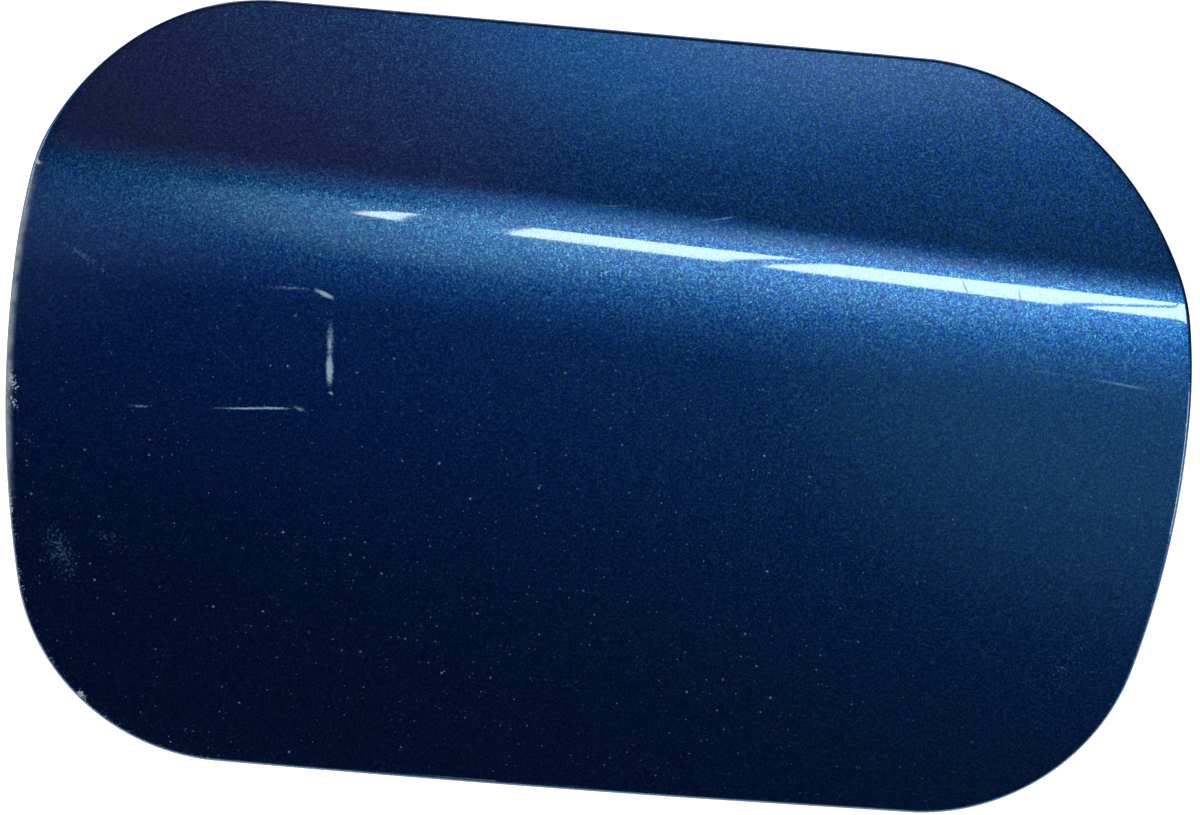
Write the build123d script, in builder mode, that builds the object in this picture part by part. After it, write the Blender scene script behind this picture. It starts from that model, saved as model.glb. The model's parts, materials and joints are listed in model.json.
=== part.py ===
from build123d import *

import os
from math import cos, pi, radians, sin, sqrt, tan

# Frame: X along the car towards the hinge side, +Y into the car, +Z up.
# The origin is the middle of the hinge bracket's bolt line, on its mounting face.
# Lengths are in millimetres, angles in degrees.

# Plan outline of the door, seen from outside
door_length = 190.0
door_height = 125.0
hinge_side_bow = 168.0
free_side_bow = 220.0
corner_top_hinge = 46.0
corner_top_free = 36.0
corner_bottom_hinge = 35.0
corner_bottom_free = 34.0

# Cross-section: tangent arcs that leave the foot of the ridge
crease_height = 13.0
crease_fall = 2.6
plan_radius = 1500.0
lower_radius = 600.0
lower_turn = -12.0
lead_radius = 70.0
lead_turn = 13.0
crown_radius = 24.0
fold = 30.0
hollow_radius = 180.0
hollow_turn = 14.0

# Sheet and hem
skin_gauge = 0.8
inner_gauge = 0.7
hem_gap = 0.2
hem_width = 7.0
hem_edge_radius = 1.1
sealer_width = 2.2
sealer_gap = 0.1
sealer_height = 0.9

# Inner panel, depths measured from the ridge
plateau_depth = 12.0
flank_depth = 6.0
dish_inset = 13.0
dish_draft = 15.0
dish_reach = 26.0
dish_radius = 2.5
valley_radius = 5.0
bead_height = 1.8
bead_width = 9.0
bead_draft = 25.0
bead_length = 58.0

# Hinge
arm_gauge = 2.0
arm_width = 42.2
arm_length = 48.0
arm_web_end = 8.0
arm_low_height = 6.0
arm_bend = 1.5
lug_radius = 6.5
pin_diameter = 5.0
pin_clearance = 0.05
bush_diameter = 8.0
bush_flange_radius = 6.2
bush_flange = 0.8
side_clearance = 0.15
wire = 1.5
coil_radius = 4.5
coil_pitch = 1.65
coil_turns = 7.25
leg_rise = 7.0
leg_lean = 8.0
leg_radius = 4.0
leg_hole = 4.3
leg_clearance = 0.35
hinge_inset = 25.0
bracket_depth = 24.0
bracket_gauge = 2.0
bracket_width = 76.0
bracket_reach = 30.0
bolt_spacing = 61.0
bolt_hole = 6.6
bolt_line = 14.0
ear_radius = 6.0
stop_reach = 12.0
stop_angle = -25.0
stop_peg = 3.0
bracket_edge = 2.0
bracket_bend = 1.5
bracket_corner = 6.0
sleeve_end_gap = 0.2
sleeve_gap = 0.2
spring_leg = 19.0
pin_head_radius = 4.5
pin_head_height = 2.0
pin_tail = 2.0
pin_chamfer = 0.6
groove_depth = 0.5
clip_gap = 0.25
clip_gauge = 0.8
clip_play = 0.05
clip_radius = 4.9
clip_band = 1.5
clip_lug = 2.2
clip_mouth = 4.6

# Places on the flat of the inner panel, from the hinge axis, the free end or the middle
screw_reach = 39.0
screw_spacing = 22.0
striker_inset = 26.0
striker_height = -2.0
rivet_reach = 14.0
rivet_spacing = 14.0
stop_inset = 36.0
stop_rise = 29.0
stop_drop = 33.0
holder_shift = -10.0
holder_drop = 14.0
bead_shift = -10.0
bead_rise = 15.0
bead_drop = 41.0
drain_inset = 33.0
drain_drop = 32.0

# Fixings and the small pieces they hold
fixing_clearance = 0.1
drain_hole = 8.0
doubler_gauge = 1.5
hinge_doubler_length = 46.0
latch_doubler_length = 20.0
latch_doubler_width = 28.0
plate_corner = 4.0
screw_diameter = 5.0
screw_hole = 5.6
screw_length = 9.2
screw_head = 10.0
screw_head_height = 2.8
socket_radius = 1.6
nut_across = 8.0
nut_height = 4.4
rivet_diameter = 4.0
rivet_head = 7.6
rivet_dome = 1.3
rivet_bulb = 2.4
striker_gauge = 2.0
striker_foot = 21.0
striker_width = 24.0
eye_diameter = 9.0
eye_reach = 15.0
stop_stem = 6.0
stop_head = 13.0
stop_height = 9.0
stop_dome = 3.0
stop_barb = 3.5
holder_gauge = 2.5
holder_length = 44.0
holder_height = 32.0
holder_slot = 15.0
holder_edge = 2.0
holder_rise = 18.0
holder_lip = 1.6
holder_screw = 3.5
holder_screw_head = 2.0
holder_screw_tail = 3.0
cross_length = 3.6
cross_width = 0.9
cross_depth = 1.1
holder_screw_spacing = 34.0

# Derived places
web_drop = coil_radius + wire / 2 + leg_clearance
axis_depth = plateau_depth + arm_gauge + web_drop
axis_x = bolt_line
axis_y = -bracket_depth
ridge_y = axis_y - axis_depth
door_x = axis_x - (door_length / 2 - hinge_inset)
flat_y = ridge_y + plateau_depth
hem_depth = 2 * (skin_gauge + hem_gap) + inner_gauge
inner_near = skin_gauge + hem_gap
inner_far = inner_near + inner_gauge

# Planes: outlines are drawn looking at the door from outside
ALONG = Vector(cos(radians(crease_fall)), 0, -sin(radians(crease_fall)))
UP = Vector(sin(radians(crease_fall)), 0, cos(radians(crease_fall)))
half_sweep = 4.5
spine = Vector(door_x, ridge_y + plan_radius, crease_height)
facing = ALONG * -cos(radians(half_sweep)) + Vector(0, sin(radians(half_sweep)), 0)
section_plane = Plane(origin=spine, x_dir=UP, z_dir=facing)
plan_plane = Plane(origin=(door_x, 0, 0), x_dir=(1, 0, 0), z_dir=(0, -1, 0))
front_plane = Plane(origin=(door_x, ridge_y, 0), x_dir=(1, 0, 0), z_dir=(0, -1, 0))
flat_plane = Plane(origin=(door_x, flat_y, 0), x_dir=(1, 0, 0), z_dir=(0, -1, 0))
axis_plane = Plane(origin=(axis_x, axis_y, 0))
base_plane = Plane(origin=(0, 0, 0), x_dir=(1, 0, 0), z_dir=(0, -1, 0))


def outward(angle):
    """Unit normal of the outer face, tilted up by the angle, in the section plane."""
    return Vector(sin(radians(angle)), -cos(radians(angle)))


def arc_chain(steps, depth):
    """Three points on each arc of a tangent chain, set back by the depth."""
    arcs = []
    angle = 0.0
    foot = Vector(0, -plan_radius)
    for radius, turn in steps:
        centre = foot - outward(angle) * radius
        reach = radius - depth
        stops = (angle, (angle + turn) / 2, turn)
        arcs.append([centre + outward(a) * reach for a in stops])
        foot = centre + outward(turn) * radius
        angle = turn
    return arcs


LOWER = [(lower_radius, lower_turn)]
UPPER = [(lead_radius, lead_turn), (crown_radius, fold), (-hollow_radius, fold - hollow_turn)]


def pressing(near, far=None, mode=Mode.ADD):
    """Material between two depths behind the outer face, or all of it behind the first."""
    with BuildSketch(section_plane) as band:
        with BuildLine():
            low = arc_chain(LOWER, near)
            high = arc_chain(UPPER, near)
            for arc in low + high:
                ThreePointArc(*arc)
            bottom = low[-1][2]
            top = high[-1][2]
            if far is None:
                back = door_length / 3 - plan_radius
                Polyline(bottom, (bottom.X, back), (top.X, back), top)
            else:
                low_far = arc_chain(LOWER, far)
                high_far = arc_chain(UPPER, far)
                for arc in low_far + high_far:
                    ThreePointArc(*arc)
                Line(bottom, low_far[-1][2])
                Line(top, high_far[-1][2])
        make_face()
    revolve(band.sketch, axis=Axis(spine, UP), revolution_arc=2 * half_sweep, mode=mode)


def door_outline(plane, inset=0.0):
    """The door's plan outline, drawn in all round by the inset."""
    with BuildSketch(plane) as outline:
        half = door_height / 2
        end = door_length / 2
        hinge_x = end - hinge_side_bow + sqrt(hinge_side_bow**2 - half**2)
        free_x = -end + free_side_bow - sqrt(free_side_bow**2 - half**2)
        with BuildLine():
            Line((free_x, half), (hinge_x, half))
            ThreePointArc((hinge_x, half), (end, 0), (hinge_x, -half))
            Line((hinge_x, -half), (free_x, -half))
            ThreePointArc((free_x, -half), (-end, 0), (free_x, half))
        make_face()
        corners = [
            ((hinge_x, half), corner_top_hinge),
            ((free_x, half), corner_top_free),
            ((hinge_x, -half), corner_bottom_hinge),
            ((free_x, -half), corner_bottom_free),
        ]
        for place, radius in corners:
            fillet(outline.vertices().sort_by_distance(place)[0], radius)
        if inset:
            offset(amount=-inset)
    return outline.sketch


def trim_to_door(inset=0.0, mode=Mode.INTERSECT):
    """Keep what lies inside the plan outline."""
    extrude(door_outline(plan_plane, inset), amount=80, mode=mode)


# Spaces that the hem and the inner panel leave
with BuildPart() as hem_slot:
    pressing(skin_gauge, inner_far + hem_gap)
    trim_to_door(skin_gauge + hem_gap)

with BuildPart() as hem_window:
    pressing(skin_gauge)
    trim_to_door(hem_width)

# Outer skin: the creased face and the edge folded round onto the inner panel
with BuildPart() as outer_skin:
    pressing(0.0, hem_depth)
    trim_to_door()
    wall = outer_skin.faces().filter_by(lambda f: abs(f.normal_at().Y) < 0.02)
    rim = wall.edges().filter_by(Axis.Y, reverse=True)
    fillet(rim, hem_edge_radius)
    add(hem_slot.part, mode=Mode.SUBTRACT)
    add(hem_window.part, mode=Mode.SUBTRACT)
outer_skin.part.label = "outer_skin"


def beyond_back(thickness):
    """What lies behind the inner panel: past its flat and past its leaning flank."""
    pressing(flank_depth - thickness)
    with BuildSketch(flat_plane.offset(thickness)) as sheet:
        Rectangle(2 * door_length, 2 * door_height)
    extrude(sheet.sketch, amount=-80, mode=Mode.INTERSECT)


def beads(lift, shrink):
    """Stiffening beads pressed up from the flat."""
    with BuildSketch(flat_plane.offset(lift)) as slots:
        with Locations((bead_shift, bead_rise), (bead_shift, -bead_drop)):
            SlotOverall(bead_length - 2 * shrink, bead_width - 2 * shrink)
    extrude(slots.sketch, amount=-bead_height, taper=bead_draft)


def dish_walls(inset):
    """Keep what lies inside the drafted walls of the dish."""
    deep = inset + dish_reach * tan(radians(dish_draft))
    mouth = door_outline(front_plane, inset)
    floor = door_outline(front_plane.offset(-dish_reach), deep)
    loft([mouth, floor], ruled=True, mode=Mode.INTERSECT)


with BuildPart() as panel_back:
    beyond_back(0.0)

with BuildPart() as panel_front:
    beyond_back(inner_gauge)

def round_back(form, valley, rim):
    """Round the valley between flat and flank, then the rim where they meet the walls."""
    flat = form.faces().filter_by(Axis.Y).sort_by(Axis.Y)[-1]
    fillet(flat.edges().sort_by(Axis.Z)[-1], valley)
    back = form.faces().filter_by(lambda f: f.normal_at().Y > 0.6).edges()
    walls = form.faces().filter_by(lambda f: abs(f.normal_at().Y) < 0.4).edges()
    fillet([w for w in walls if any(w.is_same(b) for b in back)], rim)


# Form and hollow of the inner panel's dish, a sheet thickness apart
with BuildPart() as dish_form:
    pressing(inner_near)
    dish_walls(dish_inset)
    add(panel_back.part, mode=Mode.SUBTRACT)
    round_back(dish_form, valley_radius, dish_radius)
    beads(0.0, 0.0)

with BuildPart() as dish_hollow:
    pressing(0.0)
    dish_walls(dish_inset + inner_gauge / cos(radians(dish_draft)))
    add(panel_front.part, mode=Mode.SUBTRACT)
    round_back(dish_hollow, valley_radius + inner_gauge, dish_radius - inner_gauge)
    beads(inner_gauge, inner_gauge)


def flat_holes(places, diameter):
    """Round holes through the flat of the inner panel."""
    with BuildSketch(flat_plane.offset(-inner_gauge)) as holes:
        with Locations(*places):
            Circle(diameter / 2)
    extrude(holes.sketch, amount=plateau_depth / 2, mode=Mode.SUBTRACT)


def back_plate(near, thick, width, height, place, radius):
    """A flat plate with rounded corners, its near face this far behind the flat."""
    with BuildSketch(flat_plane.offset(-near)) as plate:
        with Locations(place):
            RectangleRounded(width, height, radius)
    extrude(plate.sketch, amount=-thick)


axis_place = door_length / 2 - hinge_inset
striker_place = striker_inset - door_length / 2
stop_place = stop_inset - door_length / 2
drain_place = door_length / 2 - drain_inset
holder_place = (holder_shift, -holder_drop)
stop_places = [(stop_place, stop_rise), (stop_place, -stop_drop)]
drain_places = [
    (drain_place, -drain_drop),
    (drain_place - hinge_inset, drain_drop),
    (-hinge_inset, drain_drop),
]
screw_places = [(axis_place - screw_reach, side * screw_spacing / 2) for side in (1, -1)]
rivet_places = [(striker_place + rivet_reach, striker_height + side * rivet_spacing / 2) for side in (1, -1)]
holder_screws = [(holder_shift + side * holder_screw_spacing / 2, -holder_drop) for side in (1, -1)]

with BuildPart() as inner_panel:
    pressing(inner_near, inner_far)
    trim_to_door(skin_gauge + 2 * hem_gap)
    add(dish_form.part)
    add(dish_hollow.part, mode=Mode.SUBTRACT)
    flat_holes(screw_places, screw_hole)
    flat_holes(rivet_places, rivet_diameter + 2 * fixing_clearance)
    flat_holes(holder_screws, holder_screw + 2 * fixing_clearance)
    flat_holes(stop_places, stop_stem + 2 * fixing_clearance)
    flat_holes(drain_places, drain_hole)
inner_panel.part.label = "inner_panel"

# Sealer run along the cut edge of the hem
with BuildPart() as hem_sealer:
    pressing(inner_far, inner_far + sealer_height)
    trim_to_door(hem_width + sealer_gap)
    trim_to_door(hem_width + sealer_gap + sealer_width, mode=Mode.SUBTRACT)
hem_sealer.part.label = "hem_sealer"

# Plates inside the leaf
inside = -inner_gauge - doubler_gauge
with BuildPart() as hinge_doubler:
    doubler_place = (axis_place - arm_length + hinge_doubler_length / 2, 0)
    back_plate(inside, doubler_gauge, hinge_doubler_length, arm_width, doubler_place, plate_corner)
    flat_holes(screw_places, screw_hole)
hinge_doubler.part.label = "hinge_doubler"

with BuildPart() as latch_doubler:
    doubler_place = (striker_place + rivet_reach, striker_height)
    back_plate(inside, doubler_gauge, latch_doubler_length, latch_doubler_width, doubler_place, plate_corner)
    flat_holes(rivet_places, rivet_diameter + 2 * fixing_clearance)
latch_doubler.part.label = "latch_doubler"

with BuildPart() as weld_nuts:
    with BuildSketch(flat_plane.offset(-inside)) as nuts:
        with Locations(*screw_places):
            RegularPolygon(nut_across / 2, 6, major_radius=False)
            Circle(screw_diameter / 2 + fixing_clearance, mode=Mode.SUBTRACT)
    extrude(nuts.sketch, amount=nut_height)
weld_nuts.part.label = "weld_nuts"

# Hinge arm: a channel whose sides carry the pivot, each with a stop peg
arm_half = arm_width / 2
low_y = -web_drop - arm_gauge
peg_x = stop_reach * cos(radians(stop_angle))
peg_y = stop_reach * sin(radians(stop_angle))
with BuildPart() as hinge_arm:
    with BuildSketch(axis_plane) as web:
        with Locations((-(arm_length + arm_web_end) / 2, -web_drop - arm_gauge / 2)):
            Rectangle(arm_length - arm_web_end, arm_gauge)
    extrude(amount=arm_half)
    with BuildSketch(axis_plane.offset(arm_half - arm_gauge)) as side:
        Circle(lug_radius)
        with Locations((-arm_length, low_y)):
            Rectangle(arm_length - arm_web_end, arm_low_height, align=(Align.MIN, Align.MIN))
        make_hull()
    with BuildSketch(axis_plane.offset(arm_half - arm_gauge)) as nose:
        Circle(lug_radius - 1)
        with Locations((peg_x, peg_y)):
            Circle(stop_peg / 2 + 0.4)
        make_hull()
    extrude(amount=arm_gauge)
    with BuildSketch(axis_plane.offset(arm_half)) as peg:
        with Locations((peg_x, peg_y)):
            Circle(stop_peg / 2)
    extrude(amount=bush_flange + 2 * side_clearance + bracket_gauge)
    with Locations((axis_x, axis_y, arm_half - arm_gauge / 2)):
        Cylinder(bush_diameter / 2 + fixing_clearance, 2 * arm_gauge, mode=Mode.SUBTRACT)
    bends = hinge_arm.edges().filter_by(Axis.X).filter_by(lambda e: abs(e.center().Z - arm_half) < 0.01)
    fillet(bends.sort_by(Axis.Y)[0], arm_bend)
    tail_corner = hinge_arm.edges().filter_by(Axis.Z).filter_by(lambda e: e.length < arm_gauge + 0.1)
    fillet(tail_corner.sort_by(Axis.X)[0], arm_low_height - arm_gauge)
    mirror(about=Plane.XY)
    with BuildSketch(flat_plane.offset(1)) as through:
        with Locations(*screw_places):
            Circle(screw_hole / 2)
    extrude(amount=-arm_gauge - 2, mode=Mode.SUBTRACT)
hinge_arm.part.label = "hinge_arm"

with BuildPart() as arm_screws:
    with BuildSketch(flat_plane.offset(-arm_gauge)) as shanks:
        with Locations(*screw_places):
            Circle(screw_diameter / 2)
    extrude(amount=screw_length)
    with BuildSketch(flat_plane.offset(-arm_gauge)) as flanges:
        with Locations(*screw_places):
            Circle(screw_head / 2)
    extrude(amount=-screw_head_height, taper=20)
    with BuildSketch(flat_plane.offset(-arm_gauge - screw_head_height)) as sockets:
        with Locations(*screw_places):
            RegularPolygon(socket_radius, 6)
    extrude(amount=socket_radius, mode=Mode.SUBTRACT)
arm_screws.part.label = "arm_screws"


def bush(side):
    """A flanged bush in one side of the arm, its flange outwards."""
    inner = arm_half - arm_gauge
    with BuildSketch(axis_plane.offset(side * inner)) as barrel:
        Circle(bush_diameter / 2)
        Circle(pin_diameter / 2 + pin_clearance, mode=Mode.SUBTRACT)
    extrude(barrel.sketch, amount=side * arm_gauge)
    with BuildSketch(axis_plane.offset(side * arm_half)) as flange:
        Circle(bush_flange_radius)
        Circle(pin_diameter / 2 + pin_clearance, mode=Mode.SUBTRACT)
    extrude(flange.sketch, amount=side * bush_flange)


with BuildPart() as upper_bush:
    bush(1)
upper_bush.part.label = "upper_bush"

with BuildPart() as lower_bush:
    bush(-1)
lower_bush.part.label = "lower_bush"

# Striker: a bent plate whose tongue has the eye for the lock pin
with BuildPart() as latch_striker:
    with BuildSketch(flat_plane) as foot:
        with Locations((striker_place, striker_height)):
            Rectangle(striker_foot, striker_width, align=(Align.MIN, Align.CENTER))
    extrude(amount=-striker_gauge)
    tongue_plane = Plane(
        origin=(door_x + striker_place, flat_y, striker_height), x_dir=(0, 1, 0), z_dir=(1, 0, 0)
    )
    with BuildSketch(tongue_plane) as tongue:
        Rectangle(eye_reach, striker_width, align=(Align.MIN, Align.CENTER))
        with Locations((eye_reach, 0)):
            Circle(striker_width / 2)
            Circle(eye_diameter / 2, mode=Mode.SUBTRACT)
    extrude(amount=striker_gauge)
    corner = latch_striker.edges().filter_by(Axis.Z)
    heel = corner.filter_by(lambda e: abs(e.center().X - door_x - striker_place) < 0.01)
    fillet(heel.sort_by(Axis.Y)[0], striker_gauge)
    with BuildSketch(flat_plane.offset(1)) as through:
        with Locations(*rivet_places):
            Circle(rivet_diameter / 2 + fixing_clearance)
    extrude(amount=-striker_gauge - 2, mode=Mode.SUBTRACT)
latch_striker.part.label = "latch_striker"

with BuildPart() as striker_rivets:
    with BuildSketch(flat_plane.offset(-striker_gauge)) as stems:
        with Locations(*rivet_places):
            Circle(rivet_diameter / 2)
    extrude(amount=striker_gauge + inner_gauge + doubler_gauge)
    with BuildSketch(flat_plane.offset(-striker_gauge)) as heads:
        with Locations(*rivet_places):
            Circle(rivet_head / 2)
    extrude(amount=-rivet_dome, taper=35)
    with BuildSketch(flat_plane.offset(-inside)) as bulbs:
        with Locations(*rivet_places):
            Circle(rivet_head / 2 - fixing_clearance * 6)
    extrude(amount=rivet_bulb, taper=15)
striker_rivets.part.label = "striker_rivets"


def bump_stop(place):
    """A rubber buffer: domed head, stem through the panel and a barb behind it."""
    x, z = place
    spin_plane = Plane(origin=(door_x + x, flat_y, z), x_dir=(1, 0, 0), z_dir=(0, 0, 1))
    stem = stop_stem / 2
    head = stop_head / 2
    neck = -inner_gauge
    tip = neck - stop_barb
    shoulder = stop_height - stop_dome
    with BuildSketch(spin_plane) as half:
        with BuildLine():
            Polyline((0, stop_height), (head - stop_dome, stop_height))
            RadiusArc((head - stop_dome, stop_height), (head, shoulder), stop_dome)
            Polyline((head, shoulder), (head, 0), (stem, 0), (stem, neck), (stem + 1.5, neck))
            Polyline((stem + 1.5, neck), (stem - 1, tip), (0, tip), (0, stop_height))
        make_face()
    revolve(half.sketch, axis=Axis((door_x + x, 0, z), (0, 1, 0)))


with BuildPart() as upper_bump_stop:
    bump_stop(stop_places[0])
upper_bump_stop.part.label = "upper_bump_stop"

with BuildPart() as lower_bump_stop:
    bump_stop(stop_places[1])
lower_bump_stop.part.label = "lower_bump_stop"

# Cap holder: a plate with two hooked walls and a ledge below
with BuildPart() as cap_holder:
    back_plate(0.0, holder_gauge, holder_length, holder_height, holder_place, plate_corner)
    slot_half = holder_slot / 2
    hook_plane = Plane(
        origin=(door_x + holder_shift, flat_y, -holder_drop - holder_height / 2 + holder_edge),
        x_dir=(1, 0, 0), z_dir=(0, 0, 1),
    )
    with BuildSketch(hook_plane) as hooks:
        for side in (1, -1):
            with BuildLine():
                Polyline(
                    (side * (slot_half + holder_gauge), 0), (side * (slot_half + holder_gauge), holder_rise),
                    (side * (slot_half - holder_lip), holder_rise),
                    (side * (slot_half - holder_lip), holder_rise - holder_gauge),
                    (side * slot_half, holder_rise - holder_gauge - holder_lip), (side * slot_half, 0),
                    close=True,
                )
            make_face()
    extrude(amount=holder_height - 2 * holder_edge)
    with BuildSketch(hook_plane) as ledge:
        with Locations((0, holder_rise / 2)):
            Rectangle(holder_slot + holder_gauge, holder_rise)
    extrude(amount=holder_gauge)
    with BuildSketch(flat_plane.offset(1)) as through:
        with Locations(*holder_screws):
            Circle(holder_screw / 2 + fixing_clearance)
    extrude(amount=-holder_gauge - 2, mode=Mode.SUBTRACT)
cap_holder.part.label = "cap_holder"

with BuildPart() as cap_holder_screws:
    with BuildSketch(flat_plane.offset(-holder_gauge)) as shanks:
        with Locations(*holder_screws):
            Circle(holder_screw / 2)
    extrude(amount=holder_gauge + inner_gauge + holder_screw_tail)
    with BuildSketch(flat_plane.offset(-holder_gauge)) as heads:
        with Locations(*holder_screws):
            Circle(holder_screw)
    extrude(amount=-holder_screw_head, taper=15)
    with BuildSketch(flat_plane.offset(-holder_gauge - holder_screw_head)) as slots:
        with Locations(*holder_screws):
            Rectangle(cross_length, cross_width)
            Rectangle(cross_width, cross_length)
    extrude(amount=cross_depth, mode=Mode.SUBTRACT)
cap_holder_screws.part.label = "cap_holder_screws"

# Hinge bracket, fixed to the car: a base with two ears outside the arm
ear_inner = arm_half + bush_flange + side_clearance
ear_outer = ear_inner + bracket_gauge
base_right = axis_x - bracket_edge
base_left = axis_x - bracket_reach
coil_height = coil_turns * coil_pitch
climb = coil_pitch / (2 * pi * coil_radius)
coil_start = Vector(axis_x + coil_radius, axis_y, -coil_height / 2)
leg_bend = coil_start + Vector(0, leg_rise, -leg_rise * climb)
leg_tip = Vector(axis_x - leg_lean, -bracket_gauge / 2, leg_bend.Z)
with BuildPart() as hinge_bracket:
    with BuildSketch(base_plane) as base:
        with Locations(((base_left + base_right) / 2, 0)):
            RectangleRounded(base_right - base_left, bracket_width, bracket_corner)
    extrude(amount=bracket_gauge)
    with BuildSketch(axis_plane.offset(ear_inner)) as ear:
        Circle(ear_radius)
        with Locations((base_left + 3 - axis_x, bracket_depth - bracket_gauge)):
            Rectangle(base_right - base_left - 3, bracket_gauge, align=(Align.MIN, Align.MIN))
        make_hull()
    extrude(amount=bracket_gauge)
    along = hinge_bracket.edges().filter_by(Axis.X)
    root = along.filter_by(lambda e: abs(e.center().Y + bracket_gauge) < 0.01)
    fillet(root.filter_by(lambda e: abs(e.center().Z - ear_outer) < 0.01), bracket_bend)
    mirror(about=Plane.XY)
    with Locations((axis_x, axis_y, 0)):
        Cylinder(pin_diameter / 2 + pin_clearance, bracket_width, mode=Mode.SUBTRACT)
    with BuildSketch(base_plane.offset(-1)) as bolts:
        with Locations((0, bolt_spacing / 2), (0, -bolt_spacing / 2)):
            Circle(bolt_hole / 2)
        with Locations((leg_tip.X, leg_tip.Z)):
            Circle(leg_hole / 2)
    extrude(amount=bracket_gauge + 2, mode=Mode.SUBTRACT)
hinge_bracket.part.label = "hinge_bracket"

with BuildPart() as hinge_pin:
    with BuildSketch(axis_plane.offset(ear_outer)) as head:
        Circle(pin_head_radius)
    extrude(amount=pin_head_height, taper=25)
    with BuildSketch(axis_plane.offset(ear_outer)) as shank:
        Circle(pin_diameter / 2)
    extrude(amount=-2 * ear_outer - clip_gap - clip_gauge - pin_tail)
    chamfer(hinge_pin.edges().sort_by(Axis.Z)[0], pin_chamfer)
    with BuildSketch(axis_plane.offset(-ear_outer - clip_gap)) as groove:
        Circle(pin_diameter)
        Circle(pin_diameter / 2 - groove_depth, mode=Mode.SUBTRACT)
    extrude(amount=-clip_gauge - 2 * clip_play, mode=Mode.SUBTRACT)
hinge_pin.part.label = "hinge_pin"

# Retaining ring: a band open on one side, with three lugs that reach into the groove
clip_bore = clip_radius - clip_band
groove_radius = pin_diameter / 2 - groove_depth + clip_play
with BuildPart() as pin_clip:
    with BuildSketch(axis_plane.offset(-ear_outer - clip_gap - clip_play)) as ring:
        Circle(clip_radius)
        Circle(clip_bore, mode=Mode.SUBTRACT)
        with PolarLocations((clip_bore + clip_band / 2 + groove_radius) / 2, 3):
            Rectangle(clip_bore + clip_band / 2 - groove_radius + 0.2, clip_lug)
        Circle(groove_radius, mode=Mode.SUBTRACT)
        with Locations((-clip_radius, 0)):
            Rectangle(2 * clip_radius - 2 * clip_band, clip_mouth, mode=Mode.SUBTRACT)
    extrude(amount=-clip_gauge)
pin_clip.part.label = "pin_clip"

sleeve_length = arm_width - 2 * arm_gauge - 2 * sleeve_end_gap
with BuildPart() as spring_sleeve:
    with BuildSketch(axis_plane.offset(-sleeve_length / 2)) as tube:
        Circle(coil_radius - wire / 2 - sleeve_gap)
        Circle(pin_diameter / 2 + pin_clearance, mode=Mode.SUBTRACT)
    extrude(amount=sleeve_length)
spring_sleeve.part.label = "spring_sleeve"

# Torsion spring: one leg lies on the arm, the other ends in the bracket
with BuildPart() as door_spring:
    with BuildLine() as coil:
        Helix(coil_pitch, coil_height, coil_radius, center=(axis_x, axis_y, -coil_height / 2), lefthand=True)
    with BuildSketch(Plane(origin=coil.line @ 0, z_dir=coil.line % 0)) as wire_section:
        Circle(wire / 2)
    sweep(path=coil.line)
    with BuildLine() as car_leg:
        FilletPolyline(coil_start, leg_bend, leg_tip, radius=leg_radius)
    with BuildSketch(Plane(origin=car_leg.line @ 0, z_dir=car_leg.line % 0)) as car_wire:
        Circle(wire / 2)
    sweep(path=car_leg.line)
    with BuildSketch(Plane(origin=coil.line @ 1, z_dir=coil.line % 1)) as arm_wire:
        Circle(wire / 2)
    extrude(amount=spring_leg)
door_spring.part.label = "door_spring"

pieces = [
    outer_skin, inner_panel, hem_sealer, hinge_doubler, latch_doubler, weld_nuts, hinge_arm, arm_screws,
    upper_bush, lower_bush, latch_striker, striker_rivets, upper_bump_stop, lower_bump_stop, cap_holder,
    cap_holder_screws, hinge_bracket, hinge_pin, pin_clip, spring_sleeve, door_spring,
]
os.makedirs("parts", exist_ok=True)
for piece in pieces:
    export_step(piece.part, "parts/" + piece.part.label + ".step")
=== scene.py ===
"""Car fuel door: finishes for the packed pieces, a finely pressed skin, a wound spring and the stage."""

import json
import math

import bmesh
import bpy
from mathutils import Matrix, Vector


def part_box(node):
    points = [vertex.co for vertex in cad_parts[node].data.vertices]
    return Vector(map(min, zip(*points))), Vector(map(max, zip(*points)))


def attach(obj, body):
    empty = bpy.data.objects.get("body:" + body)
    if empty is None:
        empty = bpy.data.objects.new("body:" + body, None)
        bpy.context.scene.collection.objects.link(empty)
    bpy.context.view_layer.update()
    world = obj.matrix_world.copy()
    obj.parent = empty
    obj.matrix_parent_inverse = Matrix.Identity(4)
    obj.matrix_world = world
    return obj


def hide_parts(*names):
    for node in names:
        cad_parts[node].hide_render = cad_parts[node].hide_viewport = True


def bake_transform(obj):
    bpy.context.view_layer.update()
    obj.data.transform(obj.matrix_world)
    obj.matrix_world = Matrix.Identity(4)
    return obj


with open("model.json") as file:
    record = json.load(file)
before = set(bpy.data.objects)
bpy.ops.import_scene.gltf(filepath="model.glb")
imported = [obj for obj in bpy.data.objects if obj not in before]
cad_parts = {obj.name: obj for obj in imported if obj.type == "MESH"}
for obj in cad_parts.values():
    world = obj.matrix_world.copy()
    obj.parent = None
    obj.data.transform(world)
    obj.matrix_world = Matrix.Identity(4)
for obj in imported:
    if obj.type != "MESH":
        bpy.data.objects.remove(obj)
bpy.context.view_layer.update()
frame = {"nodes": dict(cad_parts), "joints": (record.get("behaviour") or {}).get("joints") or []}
skin_low, skin_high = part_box("outer_skin")
hinge = Vector(frame["joints"][0]["pos_m"])

bl_info = {
    "name": "Car fuel door",
    "version": (1, 0, 0),
    "blender": (4, 5, 0),
    "location": "View3D > Sidebar > Fuel Door",
    "description": "Paints and finishes a sprung fuel door and sets its stage",
    "category": "Object",
}

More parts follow.
